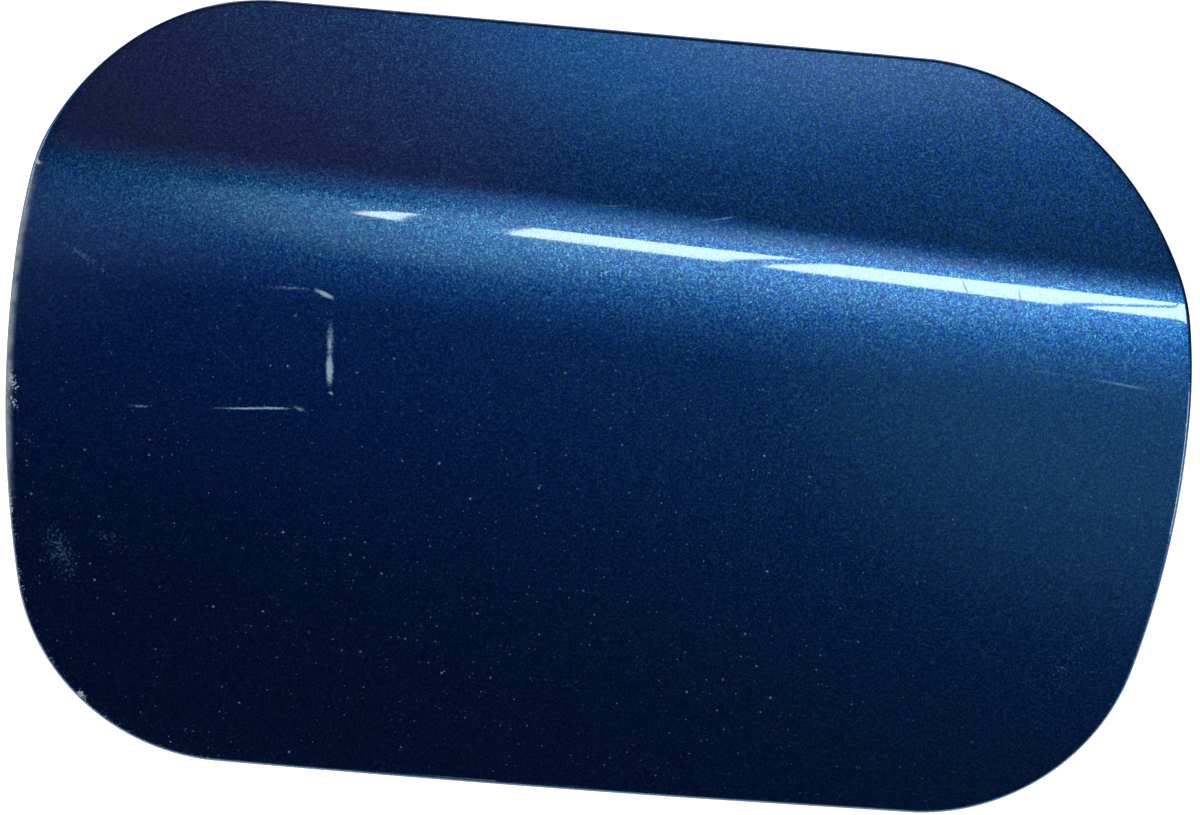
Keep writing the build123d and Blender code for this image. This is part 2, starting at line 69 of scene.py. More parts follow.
# Plan of the door, in metres from its centre
DOOR_CENTRE = Vector(((skin_low.x + skin_high.x) / 2, 0, (skin_low.z + skin_high.z) / 2))
HALF_LENGTH = (skin_high.x - skin_low.x) / 2
HALF_HEIGHT = (skin_high.z - skin_low.z) / 2
FREE_BOW = 0.220
HINGE_BOW = 0.168
# By side, the centre along the car and the radius of the bowed end
BOWS = {-1: (FREE_BOW - HALF_LENGTH, FREE_BOW), 1: (HALF_LENGTH - HINGE_BOW, HINGE_BOW)}
# Each corner's side, up or down, and radius
CORNERS = ((-1, 1, 0.036), (-1, -1, 0.034), (1, 1, 0.046), (1, -1, 0.035))

# Section of the door; above the crease, each arc's radius in metres and the tilt in degrees where it ends
CREASE_HEIGHT = 0.013
CREASE_FALL = math.radians(2.6)
PLAN_RADIUS = 1.5
LOWER_RADIUS = 0.600
UPPER_ARCS = ((0.070, 13.0), (0.024, 30.0), (-0.180, 16.0))

# Mesh of the skin: how far the crease's rows reach up and down, and the rows of each band, bottom first
CREST_UP = 0.0245
FOOT_DOWN = 0.006
TURN_BAND = 0.0095
LOWER_ROWS, RIDGE_ROWS, TURN_ROWS, TOP_ROWS = 62, 44, 52, 44
LOWER_EASE = 0.6
COLUMNS = 120
ROLL_STEPS = 8
HEM_INSETS = (0.0025, 0.004, 0.0055)
SLOPE_STEP = 1e-5
WELL_INSIDE = 0.02
HALVINGS = 44
NEAR_ENOUGH = 1e-7
SAME_PLACE_DIGITS = 7

# Spring, in metres: the straight leg and the foot that hooks into the bracket
COIL_STEPS = 40
LEG_REACHES = (0.0045, 0.0030, 0.0015)
KNEE_REACH = 0.0070
FOOT_ACROSS = 0.008
FOOT_DEPTH = -0.001
FOOT_DROP = 0.0004

# Stage, in metres
FLOOR_SIZE = (4.0, 1.6)
FLOOR_MIDDLE = (-0.05, 0.70)
FLOOR_LEVEL = -0.22
WALL_HEIGHT = 1.8
LIT_POINT = Vector((DOOR_CENTRE.x, skin_low.y, 0.025))
PANE_DISTANCE = 6.0
LAMP_DISTANCE = 1.3
SENSOR_WIDTH = 36.0

# Window panes: name and corners, each by its azimuth and elevation in degrees
PANES = (
    ("left_pane", ((-9.1, 21.7), (-6.9, 21.2), (-5.9, 26.1), (-7.2, 25.2))),
    ("middle_pane", ((-1.8, 21.3), (8.6, 21.0), (13.3, 28.6), (-0.2, 26.8))),
    ("right_pane", ((10.4, 20.8), (24.0, 19.1), (33.4, 28.4), (15.0, 28.0))),
    ("end_pane", ((25.2, 18.9), (40.0, 17.0), (46.0, 28.0), (34.8, 28.4))),
)
# Lamps: name, azimuth and elevation in degrees, width, height and brightness
LAMPS = (
    ("side window", 62.0, -8.0, 0.30, 0.35, 9.0),
    ("ceiling light", 180.0, 66.0, 1.2, 0.8, 1.0),
    ("left fill", -80.0, 25.0, 0.8, 0.8, 2.5),
    ("back light", 170.0, 35.0, 1.2, 1.0, 1.4),
)
# Soft light in the room: azimuth, elevation, angle to its edge and to its core in degrees, and colour
GLOWS = (
    (8.0, 41.0, 14.0, 2.0, (0.16, 0.71, 1.55, 1)),
    (15.0, 28.5, 21.0, 5.0, (1.00, 0.75, 0.35, 1)),
    (26.0, -4.0, 19.0, 4.0, (0.12, 0.40, 0.60, 1)),
    (-30.0, 7.0, 20.0, 5.0, (0.17, 0.22, 0.34, 1)),
    (-6.0, 6.0, 28.0, 5.0, (0.00, 0.01, 0.20, 1)),
    (-5.0, 20.5, 13.5, 0.0, (0.62, 1.10, 1.25, 1)),
    (-17.0, 51.0, 15.0, 6.0, (0.16, 0.01, 0.02, 1)),
)
PANE_LIGHT = (0.80, 0.97, 0.94, 1)
ROOM_IN_FRONT = (0.003, 0.003, 0.010, 1)
ROOM_BEHIND = (0.070, 0.070, 0.080, 1)
BLACK = (0, 0, 0, 1)
WHITE = (1, 1, 1, 1)
BACKDROP_GLOW = 0.82

# What use and age lay over the finishes
TICK_SHADE = (0.01, 0.02, 0.05, 1)
ROAD_DUST = (0.16, 0.15, 0.13, 1)
DUST_FILM = (0.22, 0.22, 0.21, 1)
FILM_SHARE = 0.22
SEALER_DIRT = (0.15, 0.14, 0.12, 1)
BRIGHT_ZINC = (0.74, 0.74, 0.73, 1)
ZINC_DIRT = (0.17, 0.14, 0.10, 1)
BARE_STEEL = (0.38, 0.37, 0.36, 1)
HINGE_DIRT = (0.14, 0.12, 0.10, 1)
BLUED_STEEL = (0.10, 0.095, 0.10, 1)
OLD_OIL = (0.12, 0.07, 0.04, 1)
GREASE = (0.20, 0.17, 0.12, 1)
HANDLED_GREY = (0.11, 0.11, 0.11, 1)
GREY_DIRT = (0.12, 0.11, 0.10, 1)
RUBBER_DUST = (0.07, 0.068, 0.065, 1)

# Marks on the face: start and end along the car and up, in millimetres, then half width and strength
MM_PER_M = 1000.0
ANY_DEPTH = 1000.0
SCRATCHES = (
    ((-64.0, 33.5), (-50.5, 35.6), 0.30, 0.50),
    ((-43.6, 33.1), (-35.8, 34.9), 0.28, 0.75),
    ((6.0, 14.6), (22.0, 13.6), 0.30, 0.45),
    ((18.0, 14.0), (36.0, 12.0), 0.36, 0.70),
    ((-92.0, 41.0), (-88.0, 43.0), 0.40, 0.45),
    ((-122.0, 10.5), (-109.0, 1.0), 0.30, 0.35),
)
SMEARS = (
    ((-64.0, 49.0), (-51.0, 54.5), 1.6, 0.60),
    ((-46.0, 47.5), (-36.0, 45.5), 1.4, 0.45),
    ((-57.0, 40.0), (-47.0, 42.5), 1.2, 0.45),
    ((-80.0, 22.0), (-68.0, 24.5), 1.5, 0.40),
    ((-74.0, -6.0), (-58.0, -14.0), 2.2, 0.35),
)
TICKS = (
    ((-1.1, 27.9), (0.5, 25.0), 0.22, 1.0),
    ((8.3, 27.2), (9.0, 24.4), 0.22, 1.0),
)
GLUE = (
    ((-111.5, 17.5), (-101.5, 17.9), 0.34, 0.65),
    ((-102.6, 17.8), (-99.6, 16.6), 0.52, 2.00),
    ((-100.0, 13.4), (-99.6, 5.5), 0.76, 1.10),
    ((-99.8, 8.2), (-99.4, 2.8), 0.78, 2.00),
    ((-99.4, 1.7), (-98.9, 1.6), 0.40, 1.50),
    ((-119.0, -2.5), (-104.5, -1.3), 0.26, 1.50),
    ((-113.0, -1.9), (-104.5, -1.3), 0.30, 1.60),
    ((-105.0, -1.0), (-103.0, -1.6), 0.50, 0.95),
    ((-131.6, -3.3), (-126.6, -2.9), 0.34, 0.85),
)
CHIPS = (
    ((-147.8, 34.2), (-147.3, 33.6), 0.60, 1.7),
    ((-148.1, 31.5), (-149.5, 23.0), 0.32, 1.2),
    ((-150.2, 0.7), (-149.4, -2.0), 1.00, 1.2),
    ((-149.6, -3.6), (-149.0, -5.0), 0.80, 1.0),
    ((-150.0, -16.5), (-149.3, -23.5), 0.80, 1.0),
    ((-148.8, -30.0), (-147.4, -36.0), 0.70, 0.9),
    ((-137.9, -52.0), (-137.0, -52.9), 0.80, 2.0),
    ((-120.0, -62.2), (-114.0, -62.4), 0.60, 1.0),
)
SCUFFS = (
    ((-143.0, -24.0), (-139.5, -32.5), 4.0, 1.0),
    ((-136.0, -24.5), (-131.0, -26.0), 2.6, 0.7),
    ((-148.0, -9.0), (-146.0, -11.0), 1.5, 0.8),
    ((29.5, -22.0), (18.0, -46.5), 2.6, 0.55),
    ((-146.0, 23.8), (-132.5, 16.2), 1.1, 1.0),
)

# Kinds of socket in a node group, and a Mix node's sockets for colours
FLOAT = "NodeSocketFloat"
VECTOR = "NodeSocketVector"
MIX_UNDER, MIX_OVER, MIX_RESULT = 6, 7, 2


class BodyPaint(bpy.types.PropertyGroup):
    """Metallic paint on the outer skin."""

    deep_color: bpy.props.FloatVectorProperty(
        name="Deep colour", description="Paint between the flakes, which glows widely",
        subtype="COLOR", size=4, min=0, max=1, default=(0.003, 0.022, 0.220, 1),
    )
    flake_color: bpy.props.FloatVectorProperty(
        name="Flake colour", description="Flakes, which shine more narrowly",
        subtype="COLOR", size=4, min=0, max=1, default=(0.020, 0.100, 0.150, 1),
    )
    flake_size: bpy.props.FloatProperty(
        name="Flake size", description="Width of one grain of flake", unit="LENGTH", default=0.00013,
    )
    dim_grain: bpy.props.FloatVectorProperty(
        name="Dim grain", description="What the dimmest grain does to the paint's red, green and blue",
        size=4, min=0, max=4, default=(0.45, 0.70, 0.80, 1),
    )
    # The bright grains are partly the paint's grain and partly painted flake glints
    bright_grain_and_glint: bpy.props.FloatVectorProperty(
        name="Bright grain", description="What the brightest grain does to the paint's red, green and blue",
        size=4, min=0, max=4, default=(2.60, 1.80, 1.46, 1),
    )
    flake_tilt: bpy.props.FloatProperty(
        name="Flake tilt", description="How far flakes lean out of the surface",
        subtype="FACTOR", default=0.15,
    )
    metal: bpy.props.FloatProperty(
        name="Metal", description="Share of the paint that shines as metal", subtype="FACTOR", default=1.0,
    )
    deep_roughness: bpy.props.FloatProperty(
        name="Deep roughness", description="Spread of the glow between the flakes",
        subtype="FACTOR", default=0.44,
    )
    flake_roughness: bpy.props.FloatProperty(
        name="Flake roughness", description="Spread of the glow of the flakes",
        subtype="FACTOR", default=0.275,
    )
    coat_roughness: bpy.props.FloatProperty(
        name="Clear coat roughness", description="Blur of the clear coat", subtype="FACTOR", default=0.045,
    )


class Wear(bpy.types.PropertyGroup):
    """Chips, scratches, dust and glue left on the outer skin, and a pale band along the left rim that is
    partly rubbed paint and partly a painted reflection.
    """

    # Primer shows in the chips, and also colours the pale band on the left rim, which is partly a painted
    # reflection
    primer_and_reflection_color: bpy.props.FloatVectorProperty(
        name="Primer", description="Primer where paint has chipped",
        subtype="COLOR", size=4, min=0, max=1, default=(0.42, 0.45, 0.48, 1),
    )
    dust_color: bpy.props.FloatVectorProperty(
        name="Dust", description="Dust specks and dry glue",
        subtype="COLOR", size=4, min=0, max=1, default=(0.36, 0.47, 0.55, 1),
    )
    scratch_color: bpy.props.FloatVectorProperty(
        name="Scratch", description="Scratched clear coat",
        subtype="COLOR", size=4, min=0, max=1, default=(0.10, 0.22, 0.36, 1),
    )
    speck_spacing: bpy.props.FloatProperty(
        name="Speck spacing", description="Distance between dust specks", unit="LENGTH", default=0.0027,
    )
    # Width of the pale band on the left rim: partly worn paint, partly a painted reflection of pale
    # surroundings on the rolled edge
    rim_wear_and_reflection_width: bpy.props.FloatProperty(
        name="Worn rim", description="Width of the worn line along the free edge",
        unit="LENGTH", default=0.0018,
    )


class Hem(bpy.types.PropertyGroup):
    """The outer sheet and its folded edge."""

    gauge: bpy.props.FloatProperty(
        name="Gauge", description="Thickness of the sheet", unit="LENGTH", default=0.0008,
    )
    edge_radius: bpy.props.FloatProperty(
        name="Edge radius", description="Radius of the rolled edge", unit="LENGTH", default=0.0011,
    )
    depth: bpy.props.FloatProperty(
        name="Hem depth", description="From the face to the back of the hem", unit="LENGTH", default=0.0027,
    )
    width: bpy.props.FloatProperty(
        name="Hem width", description="How far the hem reaches in behind the door",
        unit="LENGTH", default=0.007,
    )


class HingeFinish(bpy.types.PropertyGroup):
    """Finishes on the back of the door and on the hinge."""

    inner_color: bpy.props.FloatVectorProperty(
        name="Inner paint", description="Thin paint on the inner panel",
        subtype="COLOR", size=4, min=0, max=1, default=(0.009, 0.041, 0.120, 1),
    )
    arm_color: bpy.props.FloatVectorProperty(
        name="Dip coat", description="Black dip coat on the arm and bracket",
        subtype="COLOR", size=4, min=0, max=1, default=(0.018, 0.018, 0.020, 1),
    )
    zinc_color: bpy.props.FloatVectorProperty(
        name="Zinc", description="Zinc plate on the striker and fixings",
        subtype="COLOR", size=4, min=0, max=1, default=(0.60, 0.60, 0.57, 1),
    )
    spring_color: bpy.props.FloatVectorProperty(
        name="Spring wire", description="Oiled spring steel",
        subtype="COLOR", size=4, min=0, max=1, default=(0.26, 0.25, 0.25, 1),
    )
    bush_color: bpy.props.FloatVectorProperty(
        name="Bush", description="Natural nylon bushes",
        subtype="COLOR", size=4, min=0, max=1, default=(0.72, 0.69, 0.60, 1),
    )
    plastic_color: bpy.props.FloatVectorProperty(
        name="Moulding", description="Black moulded plastic",
        subtype="COLOR", size=4, min=0, max=1, default=(0.020, 0.020, 0.021, 1),
    )
    rubber_color: bpy.props.FloatVectorProperty(
        name="Rubber", description="Buffer rubber",
        subtype="COLOR", size=4, min=0, max=1, default=(0.013, 0.013, 0.014, 1),
    )


class Spring(bpy.types.PropertyGroup):
    """The torsion spring round the hinge pin."""

    wire: bpy.props.FloatProperty(name="Wire", description="Wire diameter", unit="LENGTH", default=0.0015)
    radius: bpy.props.FloatProperty(
        name="Coil radius", description="Middle of the wire from the pin's axis",
        unit="LENGTH", default=0.0045,
    )
    pitch: bpy.props.FloatProperty(
        name="Pitch", description="Rise per turn", unit="LENGTH", default=0.00165,
    )
    turns: bpy.props.FloatProperty(name="Turns", description="Turns of the coil", default=7.25)
    arm_leg: bpy.props.FloatProperty(
        name="Arm leg", description="Straight leg that lies on the arm", unit="LENGTH", default=0.019,
    )


class Stage(bpy.types.PropertyGroup):
    """Floor, window and camera."""

    floor_color: bpy.props.FloatVectorProperty(
        name="Floor", description="Pale floor and backdrop",
        subtype="COLOR", size=4, min=0, max=1, default=(0.80, 0.80, 0.80, 1),
    )
    window_brightness: bpy.props.FloatProperty(
        name="Window", description="Brightness of the window panes in front", default=20.0,
    )
    azimuth: bpy.props.FloatProperty(
        name="Azimuth", description="Camera to the hinge side",
        subtype="ANGLE", default=math.radians(-2.114),
    )
    elevation: bpy.props.FloatProperty(
        name="Elevation", description="Camera above the horizon",
        subtype="ANGLE", default=math.radians(8.6),
    )
    roll: bpy.props.FloatProperty(
        name="Roll", description="Camera turned about its own line of sight",
        subtype="ANGLE", default=math.radians(4.93),
    )
    distance: bpy.props.FloatProperty(
        name="Distance", description="Camera from the point it looks at", unit="LENGTH", default=0.300,
    )
    target: bpy.props.FloatVectorProperty(
        name="Target", description="Point that the camera looks at",
        subtype="XYZ", unit="LENGTH", default=(-0.056262, -0.0336, 0.001417),
    )
    lens: bpy.props.FloatProperty(
        name="Lens", description="Focal length in millimetres", unit="CAMERA", default=54.97,
    )


def feed(tree, value, socket):
    """Link a socket, or set a plain value on it."""
    if isinstance(value, bpy.types.NodeSocket):
        tree.links.new(value, socket)
    else:
        socket.default_value = value


def feed_inputs(tree, made, **values):
    """Feed a node's inputs, each by its name with underscores for spaces."""
    for name, value in values.items():
        feed(tree, value, made.inputs[name.replace("_", " ")])


def node(tree, kind, **settings):
    """A shader node; a setting is a property, or else an input as in feed_inputs."""
    made = tree.nodes.new(kind)
    for name, value in settings.items():
        if hasattr(made, name):
            setattr(made, name, value)
        else:
            feed_inputs(tree, made, **{name: value})
    return made


def math_node(tree, operation, *values, clamp=False):
    """One step of arithmetic; each value is a socket or a number."""
    made = node(tree, "ShaderNodeMath", operation=operation, use_clamp=clamp)
    for socket, value in zip(made.inputs, values):
        feed(tree, value, socket)
    return made.outputs[0]


def times(tree, first, *others):
    """The product of sockets and numbers."""
    for other in others:
        first = math_node(tree, "MULTIPLY", first, other)
    return first


def most(tree, first, *others):
    """The largest of sockets."""
    for other in others:
        first = math_node(tree, "MAXIMUM", first, other)
    return first


def vector_node(tree, operation, *values):
    """One step of vector arithmetic."""
    made = node(tree, "ShaderNodeVectorMath", operation=operation)
    for socket, value in zip(made.inputs, values):
        feed(tree, value, socket)
    return made.outputs["Value" if operation in ("LENGTH", "DOT_PRODUCT") else "Vector"]


def parts(tree, value, kind="XYZ"):
    """The three parts of a vector or, with kind Color, of a colour."""
    made = tree.nodes.new("ShaderNodeSeparate" + kind)
    tree.links.new(value, made.inputs[0])
    return made.outputs


def ramp(tree, value, low, high, bottom=0.0, top=1.0):
    """A smooth step from bottom to top, as the value goes from low to high."""
    made = node(
        tree, "ShaderNodeMapRange", interpolation_type="SMOOTHSTEP",
        Value=value, From_Min=low, From_Max=high, To_Min=bottom, To_Max=top,
    )
    return made.outputs[0]


def blend_color(tree, factor, under, over, mode="MIX"):
    """The colour over laid on the colour under."""
    made = node(tree, "ShaderNodeMix", data_type="RGBA", blend_type=mode, Factor=factor)
    feed(tree, under, made.inputs[MIX_UNDER])
    feed(tree, over, made.inputs[MIX_OVER])
    return made.outputs[MIX_RESULT]


def toned(color, factor, lift=0.0):
    """A paler or darker colour."""
    return tuple(min(1.0, lift + factor * part) for part in color[:3]) + (1,)


def noise(tree, vector, scale, detail=3.0, roughness=0.55):
    """Cloudy noise."""
    made = node(tree, "ShaderNodeTexNoise", Vector=vector, Scale=scale, Detail=detail, Roughness=roughness)
    return made.outputs["Fac"]


def group_start(name, inputs, outputs):
    """A node group, by its inputs' defaults, None for a vector, and its outputs' kinds.

    Gives the tree, its input sockets and a function that links a value out.
    """
    tree = bpy.data.node_groups.new(name, "ShaderNodeTree")
    for label, default in inputs.items():
        kind = VECTOR if default is None else FLOAT
        made = tree.interface.new_socket(label, in_out="INPUT", socket_type=kind)
        if default is not None:
            made.default_value = default
    for label, kind in outputs.items():
        tree.interface.new_socket(label, in_out="OUTPUT", socket_type=kind)
    entry = tree.nodes.new("NodeGroupInput")
    leave = tree.nodes.new("NodeGroupOutput")
    return tree, entry.outputs, lambda value, label: tree.links.new(value, leave.inputs[label])


def use_group(tree, name, **inputs):
    """A group placed in a material; inputs are sockets or numbers."""
    made = node(tree, "ShaderNodeGroup", node_tree=bpy.data.node_groups[name])
    feed_inputs(tree, made, **inputs)
    return made.outputs


def make_flake_group():
    """Grains of flake: a tone for each and a normal that leans its own way."""
    tree, given, give = group_start(
        "Flake", {"Vector": None, "Scale": 2600.0, "Tilt": 0.2}, {"Tone": FLOAT, "Normal": VECTOR},
    )
    cells = node(tree, "ShaderNodeTexVoronoi", feature="F1", Vector=given["Vector"], Scale=given["Scale"])
    lean = vector_node(tree, "SUBTRACT", cells.outputs["Color"], (0.5, 0.5, 0.5))
    tilted = node(tree, "ShaderNodeVectorMath", operation="SCALE", Vector=lean, Scale=given["Tilt"])
    surface = tree.nodes.new("ShaderNodeNewGeometry")
    leaning = vector_node(tree, "ADD", surface.outputs["Normal"], tilted.outputs[0])
    give(vector_node(tree, "NORMALIZE", leaning), "Normal")
    give(parts(tree, cells.outputs["Color"], "Color")[0], "Tone")


def make_speck_group():
    """Scattered specks of dust, each of its own size and strength."""
    tree, given, give = group_start(
        "Dust Specks", {"Vector": None, "Spacing": 0.005, "Radius": 0.0002, "Rarity": 2.5}, {"Mask": FLOAT},
    )
    where = parts(tree, given["Vector"])
    plan = node(tree, "ShaderNodeCombineXYZ", X=where["X"], Y=where["Z"])
    cells = node(
        tree, "ShaderNodeTexVoronoi", feature="F1", voronoi_dimensions="2D",
        Vector=plan.outputs[0], Scale=math_node(tree, "DIVIDE", 1.0, given["Spacing"]),
    )
    apart = times(tree, cells.outputs["Distance"], given["Spacing"])
    tint = parts(tree, cells.outputs["Color"], "Color")
    size = times(tree, given["Radius"], ramp(tree, tint[0], 0.0, 1.0, 0.35, 1.0))
    core = times(tree, size, 0.2)
    weight = math_node(tree, "POWER", tint[1], given["Rarity"])
    give(times(tree, ramp(tree, apart, core, size, 1.0, 0.0), weight), "Mask")


def make_worn_group():
    """Where an edge has been rubbed, and where grime stays in corners."""
    tree, given, give = group_start(
        "Worn Edges", {"Vector": None, "Radius": 0.0006, "Grain": 900.0}, {"Rubbed": FLOAT, "Grime": FLOAT},
    )
    soft = node(tree, "ShaderNodeBevel", samples=4, Radius=given["Radius"])
    surface = tree.nodes.new("ShaderNodeNewGeometry")
    turned = vector_node(tree, "DOT_PRODUCT", soft.outputs[0], surface.outputs["Normal"])
    cloud = noise(tree, given["Vector"], given["Grain"], 4.0)
    give(times(tree, ramp(tree, turned, 0.97, 0.86), ramp(tree, cloud, 0.42, 0.62)), "Rubbed")
    hollow = node(tree, "ShaderNodeAmbientOcclusion", samples=6, Distance=0.006)
    give(times(tree, ramp(tree, hollow.outputs["AO"], 0.85, 0.35), ramp(tree, cloud, 0.3, 0.7)), "Grime")


def new_finish(name):
    """A material with its shader; gives the material, its tree, the shader and Object coordinates."""
    made = bpy.data.materials.new(name)
    made.use_nodes = True
    tree = made.node_tree
    shader = tree.nodes["Principled BSDF"]
    place = tree.nodes.new("ShaderNodeTexCoord").outputs["Object"]
    return made, tree, shader, place


def bump(tree, shader, height, depth, strength):
    """Fine height in the surface, so deep in metres and so strong."""
    made = node(tree, "ShaderNodeBump", Height=height, Distance=depth, Strength=strength)
    tree.links.new(made.outputs[0], shader.inputs["Normal"])


def put_on(names, finish):
    """Give CAD nodes a finish in place of their plain one."""
    for name in names:
        piece = frame["nodes"][name]
        piece.data.materials.clear()
        piece.data.materials.append(finish)


def lay_marks(tree, place, marks, cloud, ragged, low, high):
    """All marks of one kind as one mask: long soft spots, frayed by a cloud."""
    field = None
    for start, end, width, strength in marks:
        run = Vector((end[0] - start[0], end[1] - start[1]))
        spot = node(
            tree, "ShaderNodeMapping", vector_type="TEXTURE", Vector=place,
            Location=((start[0] + end[0]) / 2 / MM_PER_M, 0, (start[1] + end[1]) / 2 / MM_PER_M),
            Rotation=(0, -math.atan2(run.y, run.x), 0),
            Scale=((run.length / 2 + width) / MM_PER_M, ANY_DEPTH, width / MM_PER_M),
        )
        reach = vector_node(tree, "LENGTH", spot.outputs[0])
        here = times(tree, math_node(tree, "SUBTRACT", 1.0, reach), strength)
        field = here if field is None else most(tree, field, here)
    fray = times(tree, math_node(tree, "SUBTRACT", cloud, 0.5), ragged)
    return ramp(tree, math_node(tree, "ADD", field, fray), low, high)


def body_paint_finish(paint, wear):
    """Metallic blue under clear coat, with everything that has happened to it, painted flake glints in its
    grain and a painted reflection along the left rim.
    """
    made, tree, shader, place = new_finish("Blue metallic body paint")
    facing = parts(tree, tree.nodes.new("ShaderNodeTexCoord").outputs["Normal"])["Y"]
    front = ramp(tree, facing, -0.3, -0.7)
    where = parts(tree, place)
    along, up = where["X"], where["Z"]
    fine = noise(tree, place, 2600.0, 2.0, 0.65)
    broad = noise(tree, place, 420.0, 3.0, 0.6)

    flake = use_group(tree, "Flake", Vector=place, Scale=1 / paint.flake_size, Tilt=paint.flake_tilt)
    color = blend_color(tree, flake["Tone"], paint.deep_color, paint.flake_color)
    # Grain over the paint; its bright, whitish grains are partly painted flake glints
    grain = blend_color(tree, ramp(tree, fine, 0.38, 0.72), paint.dim_grain, paint.bright_grain_and_glint)
    color = blend_color(tree, 1.0, color, grain, "MULTIPLY")

    scratches = lay_marks(tree, place, SCRATCHES, broad, ragged=0.5, low=0.10, high=0.95)
    smears = times(tree, lay_marks(tree, place, SMEARS, broad, ragged=1.5, low=0.15, high=1.0), 0.30)
    scuffs = times(tree, lay_marks(tree, place, SCUFFS, fine, ragged=3.0, low=0.55, high=1.3), 0.60)
    ticks = times(tree, lay_marks(tree, place, TICKS, fine, ragged=0.6, low=0.10, high=0.8), front, 0.7)
    glue = times(tree, lay_marks(tree, place, GLUE, fine, ragged=1.3, low=0.0, high=1.5), 0.95)
    dusty = times(tree, ramp(tree, up, 0.045, -0.010, 0.4, 1.0), ramp(tree, along, -0.030, 0.010, 1.0, 0.5))
    specks = use_group(
        tree, "Dust Specks", Vector=place, Spacing=wear.speck_spacing, Radius=0.00032, Rarity=6.0,
    )
    motes = use_group(tree, "Dust Specks", Vector=place, Spacing=0.0013, Radius=0.00019, Rarity=6.0)
    specks = times(tree, most(tree, specks["Mask"], motes["Mask"]), dusty, 0.6)
    faint = times(tree, most(tree, scratches, smears, scuffs), front)
    color = blend_color(tree, faint, color, wear.scratch_color)
    color = blend_color(tree, ticks, color, TICK_SHADE)
    dust = times(tree, most(tree, glue, specks), front)
    color = blend_color(tree, dust, color, wear.dust_color)

    inset = node(tree, "ShaderNodeAttribute", attribute_name="edge_inset").outputs["Fac"]
    left = ramp(tree, along, skin_low.x + 0.050, skin_low.x + 0.018)
    # Pale band up the left rim: partly rubbed paint, partly a painted reflection of pale surroundings on
    # the rolled edge
    rubbed_and_reflection = times(tree, ramp(tree, up, 0.037, 0.022), ramp(tree, up, -0.026, -0.008))
    rubbed_and_reflection = times(tree, rubbed_and_reflection, ramp(tree, broad, 0.3, 0.6, 0.5, 0.95))
    flecks = times(tree, ramp(tree, up, -0.006, -0.016), ramp(tree, fine, 0.58, 0.70))
    rim_wear_and_reflection = times(tree, ramp(tree, inset, wear.rim_wear_and_reflection_width, wear.rim_wear_and_reflection_width * 0.2), left)
    rim_wear_and_reflection = times(tree, rim_wear_and_reflection, most(tree, rubbed_and_reflection, flecks))
    # Chips and the pale rim band, which is partly a painted reflection, take the primer colour
    chips_and_rim_reflection = most(tree, lay_marks(tree, place, CHIPS, fine, ragged=4.5, low=0.65, high=0.85), rim_wear_and_reflection)
    chips_and_rim_reflection = times(tree, chips_and_rim_reflection, ramp(tree, facing, 0.5, 0.2))
    color = blend_color(tree, chips_and_rim_reflection, color, wear.primer_and_reflection_color)

    bare = most(tree, chips_and_rim_reflection, dust, times(tree, faint, 0.6))
    kept = math_node(tree, "SUBTRACT", 1.0, bare, clamp=True)
    spread = times(tree, flake["Tone"], paint.flake_roughness - paint.deep_roughness)
    spread = math_node(tree, "ADD", spread, paint.deep_roughness)
    feed_inputs(
        tree, shader, Base_Color=color, Metallic=times(tree, kept, paint.metal),
        Roughness=ramp(tree, bare, 0.0, 1.0, spread, 0.75),
        Coat_Weight=times(tree, kept, math_node(tree, "SUBTRACT", 1.0, ticks)),
        Coat_Roughness=paint.coat_roughness, Specular_IOR_Level=1.0, Normal=flake["Normal"],
    )
    return made


def inner_paint_finish(look):
    """Thin paint on the pressed inner panel: orange peel, dust in the hollows."""
    made, tree, shader, place = new_finish("Thin blue inner paint")
    flake = use_group(tree, "Flake", Vector=place, Scale=2400.0, Tilt=0.12)
    cloud = noise(tree, place, 28.0, 4.0)
    pale = times(tree, flake["Tone"], ramp(tree, cloud, 0.3, 0.7, 0.5, 1.0))
    color = blend_color(tree, pale, look.inner_color, toned(look.inner_color, 2.1))
    worn = use_group(tree, "Worn Edges", Vector=place, Radius=0.0008, Grain=260.0)
    color = blend_color(tree, times(tree, worn["Grime"], 0.55), color, ROAD_DUST)
    film = ramp(tree, noise(tree, place, 60.0, 5.0, 0.7), 0.48, 0.75, 0.0, FILM_SHARE)
    color = blend_color(tree, film, color, DUST_FILM)
    feed_inputs(
        tree, shader, Base_Color=color, Metallic=0.35,
        Roughness=ramp(tree, film, 0.0, FILM_SHARE, 0.42, 0.62), Coat_Weight=0.25, Coat_Roughness=0.18,
    )
    bump(tree, shader, noise(tree, place, 420.0, 2.0), depth=0.00006, strength=0.5)
    return made


def sealer_finish(look):
    """Brushed sealer painted over: soft lumps and dirt along them."""
    made, tree, shader, place = new_finish("Overpainted hem sealer")
    lumps = noise(tree, place, 260.0, 4.0, 0.6)
    dull = toned(look.inner_color, 1.2, lift=0.03)
    color = blend_color(tree, ramp(tree, lumps, 0.3, 0.7), look.inner_color, dull)
    worn = use_group(tree, "Worn Edges", Vector=place, Radius=0.0006, Grain=300.0)
    color = blend_color(tree, times(tree, worn["Grime"], 0.6), color, SEALER_DIRT)
    feed_inputs(tree, shader, Base_Color=color, Roughness=ramp(tree, lumps, 0.3, 0.7, 0.5, 0.72))
    bump(tree, shader, lumps, depth=0.0006, strength=0.8)
    return made


